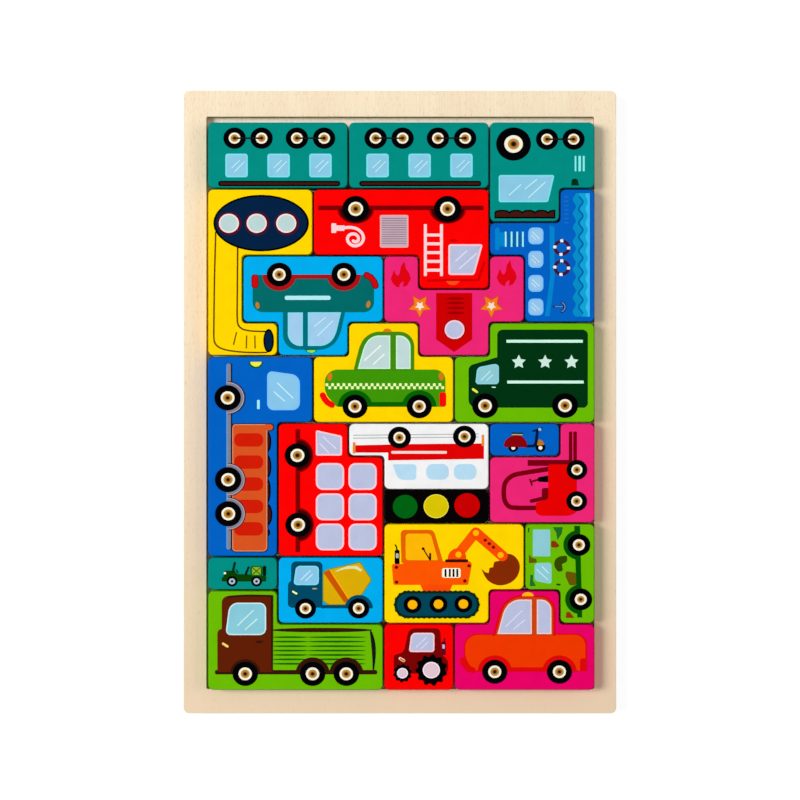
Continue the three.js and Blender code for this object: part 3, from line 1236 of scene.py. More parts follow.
glints(sheet, "sky_glint", [((24.0, 31.5), (31.3, 38.6)), ((27.5, 29.8), (32.7, 34.0))], 0.55)
dome(sheet, "lamp_green", 34.3, 45.0, 2.7, 1.9, 90)
dome(sheet, "lamp_lime", 34.3, 45.4, 2.1, 1.3, 90)
panel(sheet, "patrol_stripe", 25.0, 19.4, 47.0, 21.4, 0.9)
panel(sheet, "sill_red", 24.0, 9.3, 44.5, 11.3)
for u in (18.7, 49.6):
    arch(sheet, "sill_red", u, 9.3, 8.1, 5.6)
    wheel(sheet, u, 9.3, 5.95)
bumper = [(3.6, 14.6), (4.3, 12.6), (5.9, 10.6), (7.8, 9.6)]
line(sheet, "bumper_line", bumper, 3.2)
line(sheet, "bumper_red", bumper, 2.3)
pane(sheet, "bumper_line", "bumper_red", box_points(59.5, 9.2, 62.9, 15.8), 1.3, 0.35)
oval(sheet, "patrol_lamp", 7.0, 23.5, 0.95, 1.7, -12)
oval(sheet, "patrol_lamp", 60.0, 24.0, 0.95, 1.6, 12)
sheet.finish()

# %% [markdown]
# ## The rocket
# A dark red rocket with a porthole stands between two stars, over two flames. Each star is three stars on
# top of each other: an edge, an orange one and a pale heart. One flame is drawn, and its points are
# shifted for the other, so the two are equal.

# %% Rocket
stir(
    rocket_red=(205, 0, 2),
    rocket_band=(156, 0, 4),
    star_edge=(214, 72, 22),
    star_orange=(246, 126, 24),
    star_white=(250, 228, 212),
    flame=(222, 3, 18),
)
sheet = Sheet("rocket_block", 180)
patch(sheet, "rocket_red", [(24.8, 18.1), (42.0, 18.1), (42.0, 40.3), (33.4, 46.3), (24.8, 40.3)])
for v in (27.6, 25.2, 22.9, 20.7):
    oval(sheet, "rocket_band", 32.6, v, 4.2, 0.6)
disc(sheet, "dark_red", 33.2, 35.6, 5.2)
disc(sheet, "lilac_edge", 33.2, 35.6, 4.75)
disc(sheet, "lilac_glass", 33.2, 35.6, 3.95)
for u in (15.6, 49.8):
    star(sheet, "star_edge", u, 24.1, 6.1, 3.1)
    star(sheet, "star_orange", u, 24.2, 5.4, 2.65)
    star(sheet, "star_white", u, 24.3, 2.4, 1.2)
tongue = [(6.6, 2.3), (8.3, 4.9), (8.7, 8.0), (9.8, 9.5), (10.9, 8.2), (11.5, 6.3), (12.4, 9.0)]
tongue += [(13.1, 10.7), (12.4, 12.4), (10.8, 14.3), (9.1, 14.9), (8.9, 13.4), (7.9, 12.4)]
tongue += [(6.9, 11.8), (7.3, 14.6), (5.3, 14.0), (3.5, 10.8), (4.2, 8.1), (5.9, 5.8)]
patch(sheet, "flame", tongue, 0.35)
patch(sheet, "flame", [(u + 50.6, v + 0.6) for u, v in tongue], 0.35)
sheet.finish()

# %% [markdown]
# ## The taxi
# The taxi shares the patrol car's build in greens. A chequered band runs along its side: two rows of
# small pale squares, shifted by one. A loop puts them into one slip, so they all share one level.

# %% Taxi
stir(
    taxi_green=(62, 150, 6),
    taxi_frame=(68, 136, 14),
    taxi_edge=(200, 250, 206),
    taxi_glass=(193, 218, 218),
    taxi_glint=(238, 248, 242),
    lamp_orange=(222, 118, 24),
    chequer=(236, 254, 176),
    taxi_arch=(4, 98, 2),
    taxi_red=(244, 10, 6),
)
SQUARE_WIDTH = 1.35
SQUARE_HEIGHT = 1.4
sheet = Sheet("taxi_block", 0)
body = [(5.9, 14.0), (11.5, 7.5), (63.5, 7.5), (63.5, 25.3), (5.9, 25.3)]
patch(sheet, "taxi_green", body, [3, 1, 0.5, 5, 6])
cabin = [(19.6, 24.8), (48.6, 24.8), (48.6, 43.4), (26.6, 43.4), (22.6, 36.8)]
patch(sheet, "taxi_frame", cabin, [0, 0, 7, 5, 2])
front = [(21.6, 25.6), (37.2, 25.6), (37.2, 41.6), (28.0, 41.6), (24.7, 36.6)]
pane(sheet, "taxi_edge", "taxi_glass", front, [0, 0, 0, 3.5, 2], 0.6)
pane(sheet, "taxi_edge", "taxi_glass", box_points(39.9, 25.6, 46.9, 41.6), [0, 0, 5.5, 0], 0.6)
glints(sheet, "taxi_glint", [((25.0, 29.8), (32.6, 36.7)), ((29.3, 28.0), (34.2, 32.5))], 0.75)
dome(sheet, "lamp_orange", 35.7, 43.3, 2.1, 1.6, 90)
squares = bmesh.new()
square_size = Matrix.Diagonal((SQUARE_WIDTH, SQUARE_HEIGHT, 1, 1))
for step in range(42):
    lowered = SQUARE_HEIGHT if step % 2 else 0
    spot = Matrix.Translation((6.9 + step * SQUARE_WIDTH, 18.05 - lowered, 0)) @ square_size
    bmesh.ops.create_grid(squares, x_segments=1, y_segments=1, size=0.5, matrix=spot)
sheet.stamp(squares, "chequer")
oval(sheet, "lamp_orange", 8.3, 21.8, 1.1, 1.9, -14)
oval(sheet, "lamp_orange", 61.5, 22.0, 1.1, 1.95, 14)
panel(sheet, "taxi_arch", 25.0, 7.5, 46.0, 9.8)
for u in (20.3, 51.0):
    arch(sheet, "taxi_arch", u, 7.6, 8.2, 5.6)
    wheel(sheet, u, 7.7, 5.95)
line(sheet, "taxi_red", [(4.9, 13.0), (5.8, 11.2), (7.4, 9.4), (9.3, 8.4)], 2.9)
panel(sheet, "taxi_red", 60.6, 7.6, 63.9, 14.5, 1.2)
sheet.finish()

# %% [markdown]
# ## The box lorry
# A dark green lorry with a slanted bonnet. Cab and box have one colour and no line between them, so one
# patch holds both. Its side carries two pale stripes and three plain stars.

# %% Box lorry
stir(
    lorry_green=(1, 51, 18),
    mint=(206, 250, 229),
    mint_star=(204, 236, 222),
    lorry_edge=(136, 214, 228),
    lorry_glass=(144, 203, 214),
    lamp_yellow=(240, 236, 72),
)
sheet = Sheet("lorry_block", 0)
side = [(7.2, 9.6), (9.2, 7.1), (62.9, 7.1), (64.2, 8.6), (64.2, 44.4)]
side += [(20.9, 44.4), (20.9, 31.2), (8.4, 27.5), (7.2, 26)]
patch(sheet, "lorry_green", side, [1, 1, 0.6, 0.6, 2.6, 2.6, 0, 0.8, 0.8])
panel(sheet, "mint", 25.3, 38.15, 61.8, 39.55)
panel(sheet, "mint", 25.7, 18.65, 62.2, 20.05)
for u in (31.2, 43.8, 56.4):
    star(sheet, "mint_star", u, 28.9, 3.5, 1.75)
cab = [(10.4, 18.3), (21.7, 18.3), (21.7, 27.9), (18.8, 27.9), (11.3, 26.3)]
pane(sheet, "lorry_edge", "lorry_glass", cab, [1.6, 1.6, 1.6, 0.6, 1.6], 0.6)
glints(sheet, "sky_glint", [((13.2, 20.2), (17.6, 24.6)), ((16.0, 20.2), (18.8, 22.8))], 0.45)
line(sheet, "lamp_yellow", [(9.3, 15.9), (11.2, 14.6)], 1.1)
line(sheet, "mint", [(18.5, 16.9), (19.9, 16.8)], 0.5)
wheel(sheet, 15.1, 8.0, 6.2)
wheel(sheet, 53.3, 8.1, 6.2)
sheet.finish()

# %% [markdown]
# ## The haulage truck
# The longest block shows a truck with an open orange body, whose side is pressed into five red channels.
# The load peeps over the side as a row of dark humps. Grey arches follow the wheels. Humps and arches are
# laid in rounds, all dark lines first, so that no line covers the fill of its neighbour.

# %% Haulage truck
stir(
    box_shade=(72, 18, 12),
    box_line=(16, 22, 44),
    box_edge=(222, 150, 120),
    box_orange=(215, 84, 33),
    box_red=(209, 28, 5),
    chassis_edge=(98, 148, 204),
    chassis_grey=(130, 128, 142),
    arch_edge=(186, 158, 164),
    arch_grey=(124, 128, 146),
    truck_glass=(136, 198, 235),
)
sheet = Sheet("haulage_truck_block", 90)
humps = [(11.4, 1.9, 1.7), (20.0, 5.4, 2.7), (31.4, 6.2, 1.9), (43.0, 5.8, 2.2), (54.8, 5.2, 2.2)]
for u, half_u, rise in humps:
    dome(sheet, "tyre", u, 21.9, half_u, rise, 270)
for u, half_u, rise in humps:
    dome(sheet, "box_shade", u, 21.9, half_u - 0.9, rise - 0.65, 270)
panel(sheet, "box_line", 2.0, 21.2, 63.6, 38.7, [2.4, 0, 1.8, 1.8])
panel(sheet, "box_line", 59.9, 18.5, 63.6, 22.6, [1.4, 1.4, 0, 0])
pane(sheet, "box_edge", "box_orange", box_points(2.4, 21.6, 63.2, 38.3), [2.2, 0, 1.6, 1.6], 0.4)
panel(sheet, "box_orange", 60.3, 18.9, 63.2, 22.6, [1.2, 1.2, 0, 0])
for u in (13.2, 23.9, 34.6, 45.1, 55.7):
    panel(sheet, "box_red", u - 3.2, 23.6, u + 3.2, 37.4, 2.8)
panel(sheet, "box_line", 3.3, 38.5, 92.2, 40.0, 0.5)
panel(sheet, "chassis_edge", 3.3, 39.0, 92.2, 41.2, 1.0)
panel(sheet, "chassis_grey", 3.6, 39.0, 91.9, 40.4, 0.4)
axles = ((20.4, 40.2), (36.7, 40.3), (75.8, 40.5))
for u, v in axles:
    arch(sheet, "box_line", u, v, 8.3, 5.8, 180, 180)
for u, v in axles:
    arch(sheet, "arch_edge", u, v, 7.9, 5.8, 176, 188)
for u, v in axles:
    arch(sheet, "arch_grey", u, v, 7.4, 5.8, 176, 188)
    wheel(sheet, u, v, 6.3)
print("haulage truck so far:", len(sheet.laid), "slips")

# %% Haulage truck's cab
cab = [(69.9, 6.0), (86.6, 6.0), (88.8, 21.7), (69.9, 21.7)]
pane(sheet, "ship_edge", "truck_glass", cab, [3.6, 4, 2.8, 3.2], 0.8)
glints(sheet, "sky_glint", [((74.3, 13.4), (78.7, 18.4)), ((75.7, 9.3), (82.8, 16.6))], 0.6)
panel(sheet, "ship_pale", 70.4, 25.2, 74.8, 26.5, 0.3)
dome(sheet, "lamp_green", 93.0, 27.0, 3.1, 3.4, 180)
dome(sheet, "lamp_yellow", 93.0, 27.0, 2.3, 2.7, 180)
sheet.finish()

# %% [markdown]
# ## The bus
# A double-deck bus: two rows of three rounded windows and a slanted cab window, over one axle line. The
# six windows are equal, so two loops place them.

# %% Bus
sheet = Sheet("bus_block", 90)
panel(sheet, "dark_red", 2.0, 39.6, 60.9, 41.8, 0.6)
for u, v in ((15.1, 40.6), (48.3, 40.9)):
    arch(sheet, "halo_red", u, v, 8.6, 0.5, 180, 180, 0.88)
    arch(sheet, "arch_red", u, v, 7.7, 0.5, 180, 180, 0.92)
    wheel(sheet, u, v, 6.1, hub=0.54, tan=0.36, core=0.14)
for left in (2.9, 17.3, 31.8):
    for low in (3.0, 18.6):
        window = box_points(left, low, left + 12.8, low + 13.5)
        pane(sheet, "lilac_edge", "lilac_glass", window, 3.4, 0.85)
cab = [(48.2, 19.6), (57.6, 19.6), (60.4, 32.1), (48.2, 32.1)]
pane(sheet, "lilac_edge", "lilac_glass", cab, 0.9, 0.85)
glints(sheet, "lilac_glint", [((49.6, 26.0), (54.0, 30.2)), ((51.5, 22.4), (57.0, 28.5))], 0.6)
sheet.finish()

# %% [markdown]
# ## The ambulance
# A white van with a red side band, which steps down over the bonnet, and three pale windows. The band
# leans a little, so it is a patch with its own points and no panel. A plain pale stripe runs along it.

# %% Ambulance
stir(
    clinic_glass=(182, 220, 242),
    band_red=(224, 2, 2),
    band_pale=(250, 216, 212),
    clinic_lamp=(236, 138, 50),
    clinic_line=(178, 182, 184),
)
sheet = Sheet("ambulance_block", 180)
panel(sheet, "clinic_glass", 5.9, 19.8, 16.7, 27.3, 3.2)
panel(sheet, "clinic_glass", 19.1, 19.8, 29.9, 27.3, 3.2)
windscreen = [(34.6, 19.9), (46.0, 19.9), (43.2, 27.4), (34.6, 27.4)]
patch(sheet, "clinic_glass", windscreen, [1.6, 1, 2.4, 1.6])
band = [(2.3, 10.0), (37, 10.3), (64.0, 10.9), (64.0, 14.4), (48.1, 14.4), (48.1, 18.1), (2.3, 17.4)]
patch(sheet, "band_red", band)
panel(sheet, "band_pale", 20.0, 13.6, 46.6, 14.9, 0.5)
panel(sheet, "clinic_lamp", 63.7, 9.4, 65.0, 14.8, 0.3)
panel(sheet, "clinic_lamp", 2.2, 5.8, 3.4, 11.2, 0.3)
for v in (5.6, 7.0):
    line(sheet, "clinic_line", [(5.0, v - 0.1), (64.6, v + 0.5)], 0.45)
wheel(sheet, 11.6, 6.7, 5.5)
wheel(sheet, 42.7, 7.2, 5.5)
sheet.finish()

# %% [markdown]
# ## The traffic light, the scooter and the field car
# Three small blocks. The lights are plain discs on black. The scooter and the open car are a few patches
# each, because a printed line this small holds no more detail.

# %% Traffic light
stir(
    signal_green=(0, 98, 17),
    signal_rim=(236, 226, 66),
    signal_yellow=(217, 197, 4),
    signal_red=(200, 0, 1),
)
sheet = Sheet("traffic_light_block", 0)
disc(sheet, "signal_green", 10.6, 7.8, 5.9)
disc(sheet, "signal_rim", 25.4, 8.0, 6.0)
disc(sheet, "signal_yellow", 25.4, 8.0, 5.55)
disc(sheet, "signal_red", 40.2, 8.4, 6.1)
sheet.finish()

# %% Scooter
stir(
    scooter_navy=(6, 20, 60),
    scooter_red=(140, 2, 9),
    seat_gold=(196, 178, 110),
    car_hub=(172, 190, 206),
    scooter_gold=(186, 118, 36),
)
sheet = Sheet("scooter_block", 0)
for u in (11.7, 24.7):
    disc(sheet, "tyre", u, 4.2, 2.4)
    disc(sheet, "hub_white", u, 3.9, 0.95)
line(sheet, "scooter_navy", [(17.6, 4.7), (21.6, 4.8), (22.6, 6.4), (23.2, 11.8)], 1.3)
body = [(7.0, 4.3), (18.4, 4.2), (18.2, 6.6), (16.3, 9.4), (13.2, 10.1), (9.8, 9.3), (7.6, 7.0)]
patch(sheet, "scooter_red", body, [0.8, 0.5, 1, 1.4, 1.4, 1.4, 1])
line(sheet, "stack_green", [(11.2, 10.9), (16.2, 10.8)], 0.7)
line(sheet, "seat_gold", [(11.2, 10.3), (16.0, 10.2)], 0.5)
line(sheet, "scooter_navy", [(21.2, 11.9), (25.4, 13.3)], 0.8)
disc(sheet, "car_hub", 24.4, 12.7, 0.75)
patch(sheet, "scooter_gold", [(22.9, 4.9), (26.8, 5.3), (25.4, 7.7), (23.7, 8.0)], 0.7)
sheet.finish()

# %% Field car
stir(
    car_green=(10, 64, 2),
    car_dark=(0, 26, 14),
    car_load=(142, 178, 46),
)
sheet = Sheet("field_car_block", 0)
shell = [(7.2, 4.0), (28.4, 4.0), (28.5, 6.6), (20.6, 7.4), (14.6, 7.6)]
shell += [(13.3, 9.2), (8.4, 9.2), (8.1, 6.4), (7.2, 5.8)]
patch(sheet, "car_green", shell, 0.4)
line(sheet, "stack_green", [(12.5, 8.8), (13.4, 12.8)], 1.15)
line(sheet, "car_dark", [(14.0, 9.6), (15.0, 8.2)], 0.5)
line(sheet, "car_dark", [(18.7, 7.6), (20.0, 10.8)], 1.0)
panel(sheet, "taxi_arch", 20.9, 6.6, 26.6, 11.4, 0.9)
panel(sheet, "car_load", 21.7, 7.2, 25.8, 10.9, 0.6)
glints(sheet, "taxi_arch", [((22.2, 7.6), (25.3, 10.4)), ((22.2, 10.4), (25.3, 7.6))], 0.4)
line(sheet, "car_dark", [(27.6, 7.4), (27.6, 10.7)], 1.7)
disc(sheet, "hub_white", 8.7, 8.0, 0.6)
for u in (12.1, 23.8):
    disc(sheet, "tyre", u, 4.1, 2.6)
    disc(sheet, "car_hub", u, 4.1, 1.5)
    disc(sheet, "car_dark", u, 4.1, 0.6)
sheet.finish()

# %% [markdown]
# ## The forklift
# A red truck with its forks out in front, a tall mast and a guard over the seat. Straight bars would
# show a joint at each bend, so the guard is one smooth stroke round the driver's place.

# %% Forklift
stir(
    fork_red=(120, 2, 14),
    lift_red=(232, 1, 1),
)
sheet = Sheet("forklift_block", 270)
panel(sheet, "fork_red", 4.3, 40.4, 19.0, 42.1, 0.5)
panel(sheet, "fork_red", 4.3, 38.3, 19.0, 39.9, 0.5)
panel(sheet, "fork_red", 17.9, 18.6, 20.7, 40.0, 0.2)
guard = [(22.2, 28.8), (24.5, 14.4), (25.4, 11.4), (27.4, 8.8), (30.3, 7.4), (35.9, 7.3)]
guard += [(39.0, 8.5), (40.6, 11.0), (40.8, 22.8)]
line(sheet, "fork_red", curve(guard, 4), 2.2)
patch(sheet, "tyre", [(25.3, 28.6), (28.5, 28.6), (28.3, 23.4), (26.2, 23.4)], [0, 0, 0.7, 0.7])
line(sheet, "fork_red", [(27.4, 23.2), (28.3, 20.3)], 0.9)
line(sheet, "fork_red", [(27.2, 19.7), (29.9, 20.6)], 0.75)
panel(sheet, "fork_red", 31.3, 25.4, 36.9, 28.4, [1, 0.4, 0, 0])
line(sheet, "fork_red", [(36.1, 26.8), (37.5, 20.5)], 1.8)
truck = [(20.0, 28.4), (36.6, 28.4), (38.2, 22.5), (43.2, 22.5), (44.6, 24.6)]
truck += [(44.6, 38.6), (42.8, 42.0), (20.0, 42.0)]
patch(sheet, "lift_red", truck, [0.8, 1, 1, 1, 1, 1.5, 1, 0.5])
wheel(sheet, 22.6, 42.1, 4.95, hub=0.53)
wheel(sheet, 37.6, 42.0, 4.95, hub=0.53)
sheet.finish()

# %% [markdown]
# ## The excavator
# The busiest picture: a cab with an amber pane, a slatted body, a jointed boom with a bucket, and a track.
# A star with many points would give lugs only round a circle, so the long track's ragged outline is
# a ring of small discs under a rounded panel.

# %% Excavator's cab and body
stir(
    digger_frame=(232, 98, 0),
    digger_amber=(255, 184, 6),
    digger_dark=(60, 14, 2),
    digger_orange=(253, 86, 1),
    digger_deep=(252, 74, 4),
    cream=(255, 246, 226),
    digger_bolt=(112, 14, 8),
    digger_brown=(132, 42, 4),
    track_rim=(10, 40, 20),
    track_blue=(2, 68, 88),
)
sheet = Sheet("excavator_block", 0)
panel(sheet, "tyre", 5.6, 28.2, 7.9, 35.1, 0.6)
panel(sheet, "clinic_line", 6.1, 31.2, 7.5, 33.5, 0.3)
line(sheet, "tyre", [(6.7, 35.2), (6.4, 36.6), (5.9, 37.5)], 0.6)
cab = [(8.8, 29.0), (28.5, 29.0), (28.5, 30.2), (24.2, 44.7), (8.4, 44.7)]
patch(sheet, "digger_frame", cab, [0, 0, 0, 2, 2])
window = [(10.8, 30.2), (26.3, 30.2), (22.8, 42.9), (10.8, 42.9)]
patch(sheet, "digger_amber", window, [1.6, 0.6, 1.6, 1.6])
line(sheet, "digger_dark", [(19.3, 35.6), (22.3, 30.5)], 0.55)
disc(sheet, "digger_dark", 19.2, 35.7, 0.7)
line(sheet, "digger_dark", [(22.5, 30.5), (22.5, 33.2)], 0.95)
hull = [(5.0, 18.4), (40.6, 18.4), (42.5, 28.3), (41.6, 29.7), (9.6, 29.7), (9.6, 28.4), (4.2, 28.4)]
patch(sheet, "digger_orange", hull, [0.8, 0.5, 0.6, 0.6, 0, 0, 1])
patch(sheet, "digger_deep", [(19.6, 14.6), (31.4, 14.6), (33.2, 18.5), (17.8, 18.5)])
panel(sheet, "cream", 28.2, 21.8, 37.1, 26.4, 0.9)
for u in (29.9, 31.9, 33.7, 35.5):
    panel(sheet, "tyre", u - 0.45, 22.2, u + 0.45, 26.0)
for u, v in ((6.4, 26.8), (6.5, 19.7), (41.1, 27.5), (39.1, 20.3)):
    disc(sheet, "digger_bolt", u, v, 0.85, 20)
print("excavator so far:", len(sheet.laid), "slips")

# %% Excavator's boom
bucket = [(58.6, 33.4), (61.8, 32.8), (64.5, 30.2), (65.4, 26.8), (64.0, 22.3)]
bucket += [(60.2, 19.1), (55.2, 18.2), (50.9, 19.9), (48.7, 22.5), (47.0, 26.2)]
teeth = [(48.6, 24.6), (50.5, 24.0), (50.9, 26.5), (52.6, 26.9), (53.1, 29.4), (56.0, 30.0)]
patch(sheet, "digger_brown", curve(bucket) + teeth)
line(sheet, "digger_orange", [(36.2, 33.4), (44.2, 43.4)], 4.7)
line(sheet, "digger_deep", [(44.4, 43.3), (57.0, 32.3)], 5.1)
foot = [(30.8, 30.2), (39.8, 30.2), (39.6, 32.6), (38.4, 35.2), (35.8, 36.2), (33.0, 35.2), (31.3, 33.2)]
patch(sheet, "digger_deep", foot, [0, 0, 0.8, 1.2, 1.2, 1.2, 1])
panel(sheet, "digger_dark", 29.8, 29.2, 40.7, 30.6, 0.5)
for u, v in ((36.1, 32.9), (44.4, 43.2), (56.2, 32.7)):
    disc(sheet, "digger_amber", u, v, 1.5)
for u, v in ((48.9, 39.8), (50.8, 38.1), (52.8, 36.4)):
    disc(sheet, "digger_bolt", u, v, 0.8, 20)
print("with its boom:", len(sheet.laid), "slips")

# %% Excavator's track
LUG_PITCH = 2.5
TRACK_MIDDLE = 9.0
TRACK_RISE = 5.9
lugs = []
for step in range(12):
    u = 12.1 + step * LUG_PITCH
    lugs += [(u, TRACK_MIDDLE - TRACK_RISE), (u, TRACK_MIDDLE + TRACK_RISE)]
for step in range(7):
    angle = math.radians(101 + step * 26.4)
    reach = 5.65 * math.cos(angle)
    v = TRACK_MIDDLE + TRACK_RISE * math.sin(angle)
    lugs += [(11.6 + reach, v), (39.8 - reach, v)]
dots(sheet, "track_rim", lugs, 0.9)
panel(sheet, "track_rim", 5.4, 2.6, 46.0, 15.4, 6.3)
panel(sheet, "track_blue", 6.6, 3.7, 44.8, 14.3, 5.2)
for u, v in ((14.1, 9.0), (26.5, 9.2), (38.4, 9.3)):
    disc(sheet, "tyre", u, v, 4.3)
    disc(sheet, "digger_amber", u, v, 2.3)
sheet.finish()

# %% [markdown]
# ## The field truck
# A truck whose body is the bare lime ground, so it needs no slip of its own: only the chassis, the
# arches, two windows and some loose patches of brown and green stand on the lime.

# %% Field truck
stir(
    field_brown=(102, 85, 6),
    field_olive=(52, 72, 2),
    field_rust=(140, 52, 7),
    field_moss=(30, 108, 40),
    field_green=(3, 82, 4),
    field_edge=(132, 216, 192),
    field_glass=(142, 204, 214),
)
sheet = Sheet("field_truck_block", 270)
patch(sheet, "field_brown", [(23.0, 20.0), (25.4, 19.7), (29.9, 21.8), (29.8, 25.0), (23.8, 25.0)], 0.9)
bean = [(15.6, 20.6), (15.9, 17.0), (17.4, 14.7), (20.6, 14.3)]
bean += [(23.4, 16.2), (22.9, 18.6), (19.6, 18.0), (18.6, 20.6)]
patch(sheet, "field_olive", bean, [1, 1.4, 1.4, 1.4, 1, 0.8, 0.5, 1])
patch(sheet, "field_rust", [(8.6, 13.0), (11.6, 12.9), (11.9, 15.6), (10.9, 17.1), (8.5, 14.8)], 0.6)
patch(sheet, "field_rust", [(42.5, 20.2), (45.4, 19.9), (45.4, 24.1), (42.6, 21.9)], 0.4)
patch(sheet, "field_moss", [(2.0, 13.7), (4.6, 15.4), (8.1, 15.9), (5.2, 18.0), (2.0, 18.5)], 0.3)
patch(sheet, "field_moss", [(24.8, 3.0), (30.2, 2.8), (30.1, 5.7), (27.4, 4.2), (24.8, 4.3)], 0.3)
patch(sheet, "field_brown", [(15.0, 2.3), (19.2, 2.3), (18.9, 6.1), (17.2, 5.9), (16.7, 3.8)], 0.3)
line(sheet, "field_green", [(2.6, 2.2), (4.2, 2.2)], 0.6)
line(sheet, "field_green", [(29.4, 15.9), (29.5, 17.1)], 0.9)
patch(sheet, "field_green", [(1.4, 24.0), (45.2, 25.5), (45.2, 27.8), (1.4, 26.7)])
for u, v in ((10.5, 26.2), (36.5, 27.1)):
    arch(sheet, "field_green", u, v, 7.4, 0.5, 180, 180)
    wheel(sheet, u, v, 5.45, tan=0.32, core=0.12)
pane(sheet, "field_edge", "field_glass", box_points(3.1, 4.2, 16.0, 12.6), 0.6, 0.5)
cab = [(19.2, 5.0), (27.6, 5.0), (29.3, 13.2), (18.9, 13.2)]
pane(sheet, "field_edge", "field_glass", cab, 1.4, 0.5)
glints(sheet, "sky_glint", [((21.0, 8.8), (23.9, 11.6)), ((22.3, 6.2), (27.0, 11.2))], 0.55)
sheet.finish()

# %% [markdown]
# ## The mixer truck
# A dark blue cab stands in front of a gold drum. The drum is an eight-sided patch with an orange band
# across it, a pale highlight and a thin darker line all round, which is a slightly larger patch beneath it.

# %% Mixer truck
stir(
    mixer_line=(108, 138, 24),
    mixer_gold=(220, 172, 6),
    mixer_orange=(202, 84, 3),
    mixer_pale=(226, 226, 168),
    mixer_blue=(0, 72, 102),
)
sheet = Sheet("mixer_truck_block", 0)
outline = [(21.7, 10.5), (24.4, 8.7), (33.0, 8.7), (40.6, 13.6)]
outline += [(45.3, 20.9), (39.7, 29.5), (23.8, 25.9), (21.7, 24.3)]
patch(sheet, "mixer_line", outline, 0.5)
drum = [(22.1, 10.8), (24.6, 9.1), (32.9, 9.1), (40.3, 14.0)]
drum += [(44.8, 20.9), (39.5, 29.0), (24.0, 25.5), (22.1, 24.1)]
patch(sheet, "mixer_gold", drum, 0.4)
patch(sheet, "digger_amber", [(24.6, 25.4), (25.5, 25.6), (34.6, 11.6), (33.8, 10.7)])
patch(sheet, "mixer_orange", [(22.2, 24.2), (24.8, 25.6), (34.1, 11.3), (32.1, 9.9)], 0.2)
shine = [(27.3, 24.4), (32.0, 25.9), (37.0, 26.2), (40.2, 24.7)]
shine += [(40.7, 25.5), (38.2, 27.4), (33.6, 27.4), (29.2, 25.7)]
patch(sheet, "mixer_pale", shine, 0.5)
cab = [(5.1, 8.6), (6.4, 7.5), (21.6, 7.5), (21.6, 29.6), (6.7, 29.6), (6.6, 20.3), (5.1, 19.2)]
patch(sheet, "mixer_blue", cab, [0.6, 0.6, 0, 2.2, 2.2, 0.4, 1])
panel(sheet, "mixer_blue", 21.0, 7.2, 45.0, 8.8)
arch(sheet, "mixer_blue", 38.9, 7.2, 6.7, 0.5)
pane(sheet, "sky_edge", "truck_glass", [(7.7, 18.3), (19.9, 18.3), (19.9, 27.5), (9.0, 27.5)], 1.8, 0.6)
glints(sheet, "sky_glint", [((11.3, 20.8), (15.8, 25.2)), ((13.6, 20.3), (17.0, 23.6))], 0.5)
line(sheet, "stack_green", [(7.2, 15.2), (9.4, 13.9)], 1.5)
line(sheet, "chequer", [(7.5, 15.2), (9.2, 14.2)], 0.9)
line(sheet, "seat_gold", [(17.0, 16.6), (18.8, 16.6)], 0.5)
wheel(sheet, 13.5, 7.1, 5.05, hub=0.54, tan=0.34)
wheel(sheet, 38.9, 7.2, 5.05, hub=0.54, tan=0.34)
sheet.finish()

# %% [markdown]
# ## The farm truck
# A brown cab with a slatted load behind it. The slats are thin lines that swell in the middle. A stroke
# has one width, so they are flat ovals, and so is the bar over the load.

# %% Farm truck
stir(
    farm_slat=(24, 100, 4),
    farm_dark=(52, 20, 10),
    farm_brown=(96, 30, 5),
    farm_edge=(200, 236, 238),
    farm_glass=(135, 202, 218),
    farm_lamp=(250, 216, 108),
)
sheet = Sheet("farm_truck_block", 0)
for v in (25.4, 23.3, 21.1, 19.0, 16.9, 14.8, 12.7):
    oval(sheet, "farm_slat", 39.8, v, 8.6, 0.44, 0, 24)
    oval(sheet, "farm_slat", 62.0, v, 14.0, 0.44, 0, 24)
oval(sheet, "farm_dark", 55.0, 28.8, 24.2, 1.05, 0, 48)
sliver = [(77.9, 28.9), (79.0, 27.9), (80.7, 23.2), (80.9, 17.0)]
sliver += [(80.0, 9.8), (79.3, 9.8), (79.1, 17.0), (78.5, 23.2)]
patch(sheet, "rod", sliver, [0.2, 0.5, 3, 3, 0, 0, 3, 3])
panel(sheet, "farm_dark", 3.9, 7.6, 81.5, 9.7, 0.8)
cab = [(5.1, 8.8), (31.4, 8.8), (31.7, 45.6), (19.2, 45.8)]
cab += [(12.0, 45.4), (7.2, 44.6), (7.2, 29.4), (5.1, 28.6)]
patch(sheet, "farm_brown", cab, [0, 0, 0.5, 2, 2, 2.6, 0, 1.2])
line(sheet, "farm_dark", curve([(10.4, 44.6), (14.2, 45.0), (20, 45.3), (31.2, 45.1)]), 0.9)
patch(sheet, "farm_dark", [(30.6, 45.4), (31.8, 45.4), (31.6, 9.4), (31.0, 9.4)])
window = [(8.9, 26.4), (28.4, 26.4), (28.4, 41.9), (10.9, 41.9)]
pane(sheet, "farm_edge", "farm_glass", window, [2.6, 3.2, 3.2, 4], 0.65)
glints(sheet, "farm_edge", [((14.8, 31.0), (22.2, 38.2)), ((18.4, 29.0), (24.0, 34.0))], 0.65)
line(sheet, "farm_lamp", [(7.9, 22.3), (9.9, 21.0)], 1.15)
oval(sheet, "farm_dark", 25.2, 23.2, 1.8, 0.55)
arch(sheet, "farm_dark", 18.4, 8.0, 7.2, 0.5)
for u in (50.6, 66.7):
    arch(sheet, "farm_dark", u, 8.0, 8.1, 0.5)
for u in (18.4, 50.6, 66.7):
    wheel(sheet, u, 7.9, 6.05, hub=0.53)
sheet.finish()

# %% [markdown]
# ## The tractor
# The tractor's tyres have lugs. Turning small panels round a disc would make them, but a star with many
# shallow and blunt points is the whole cog in one slip.

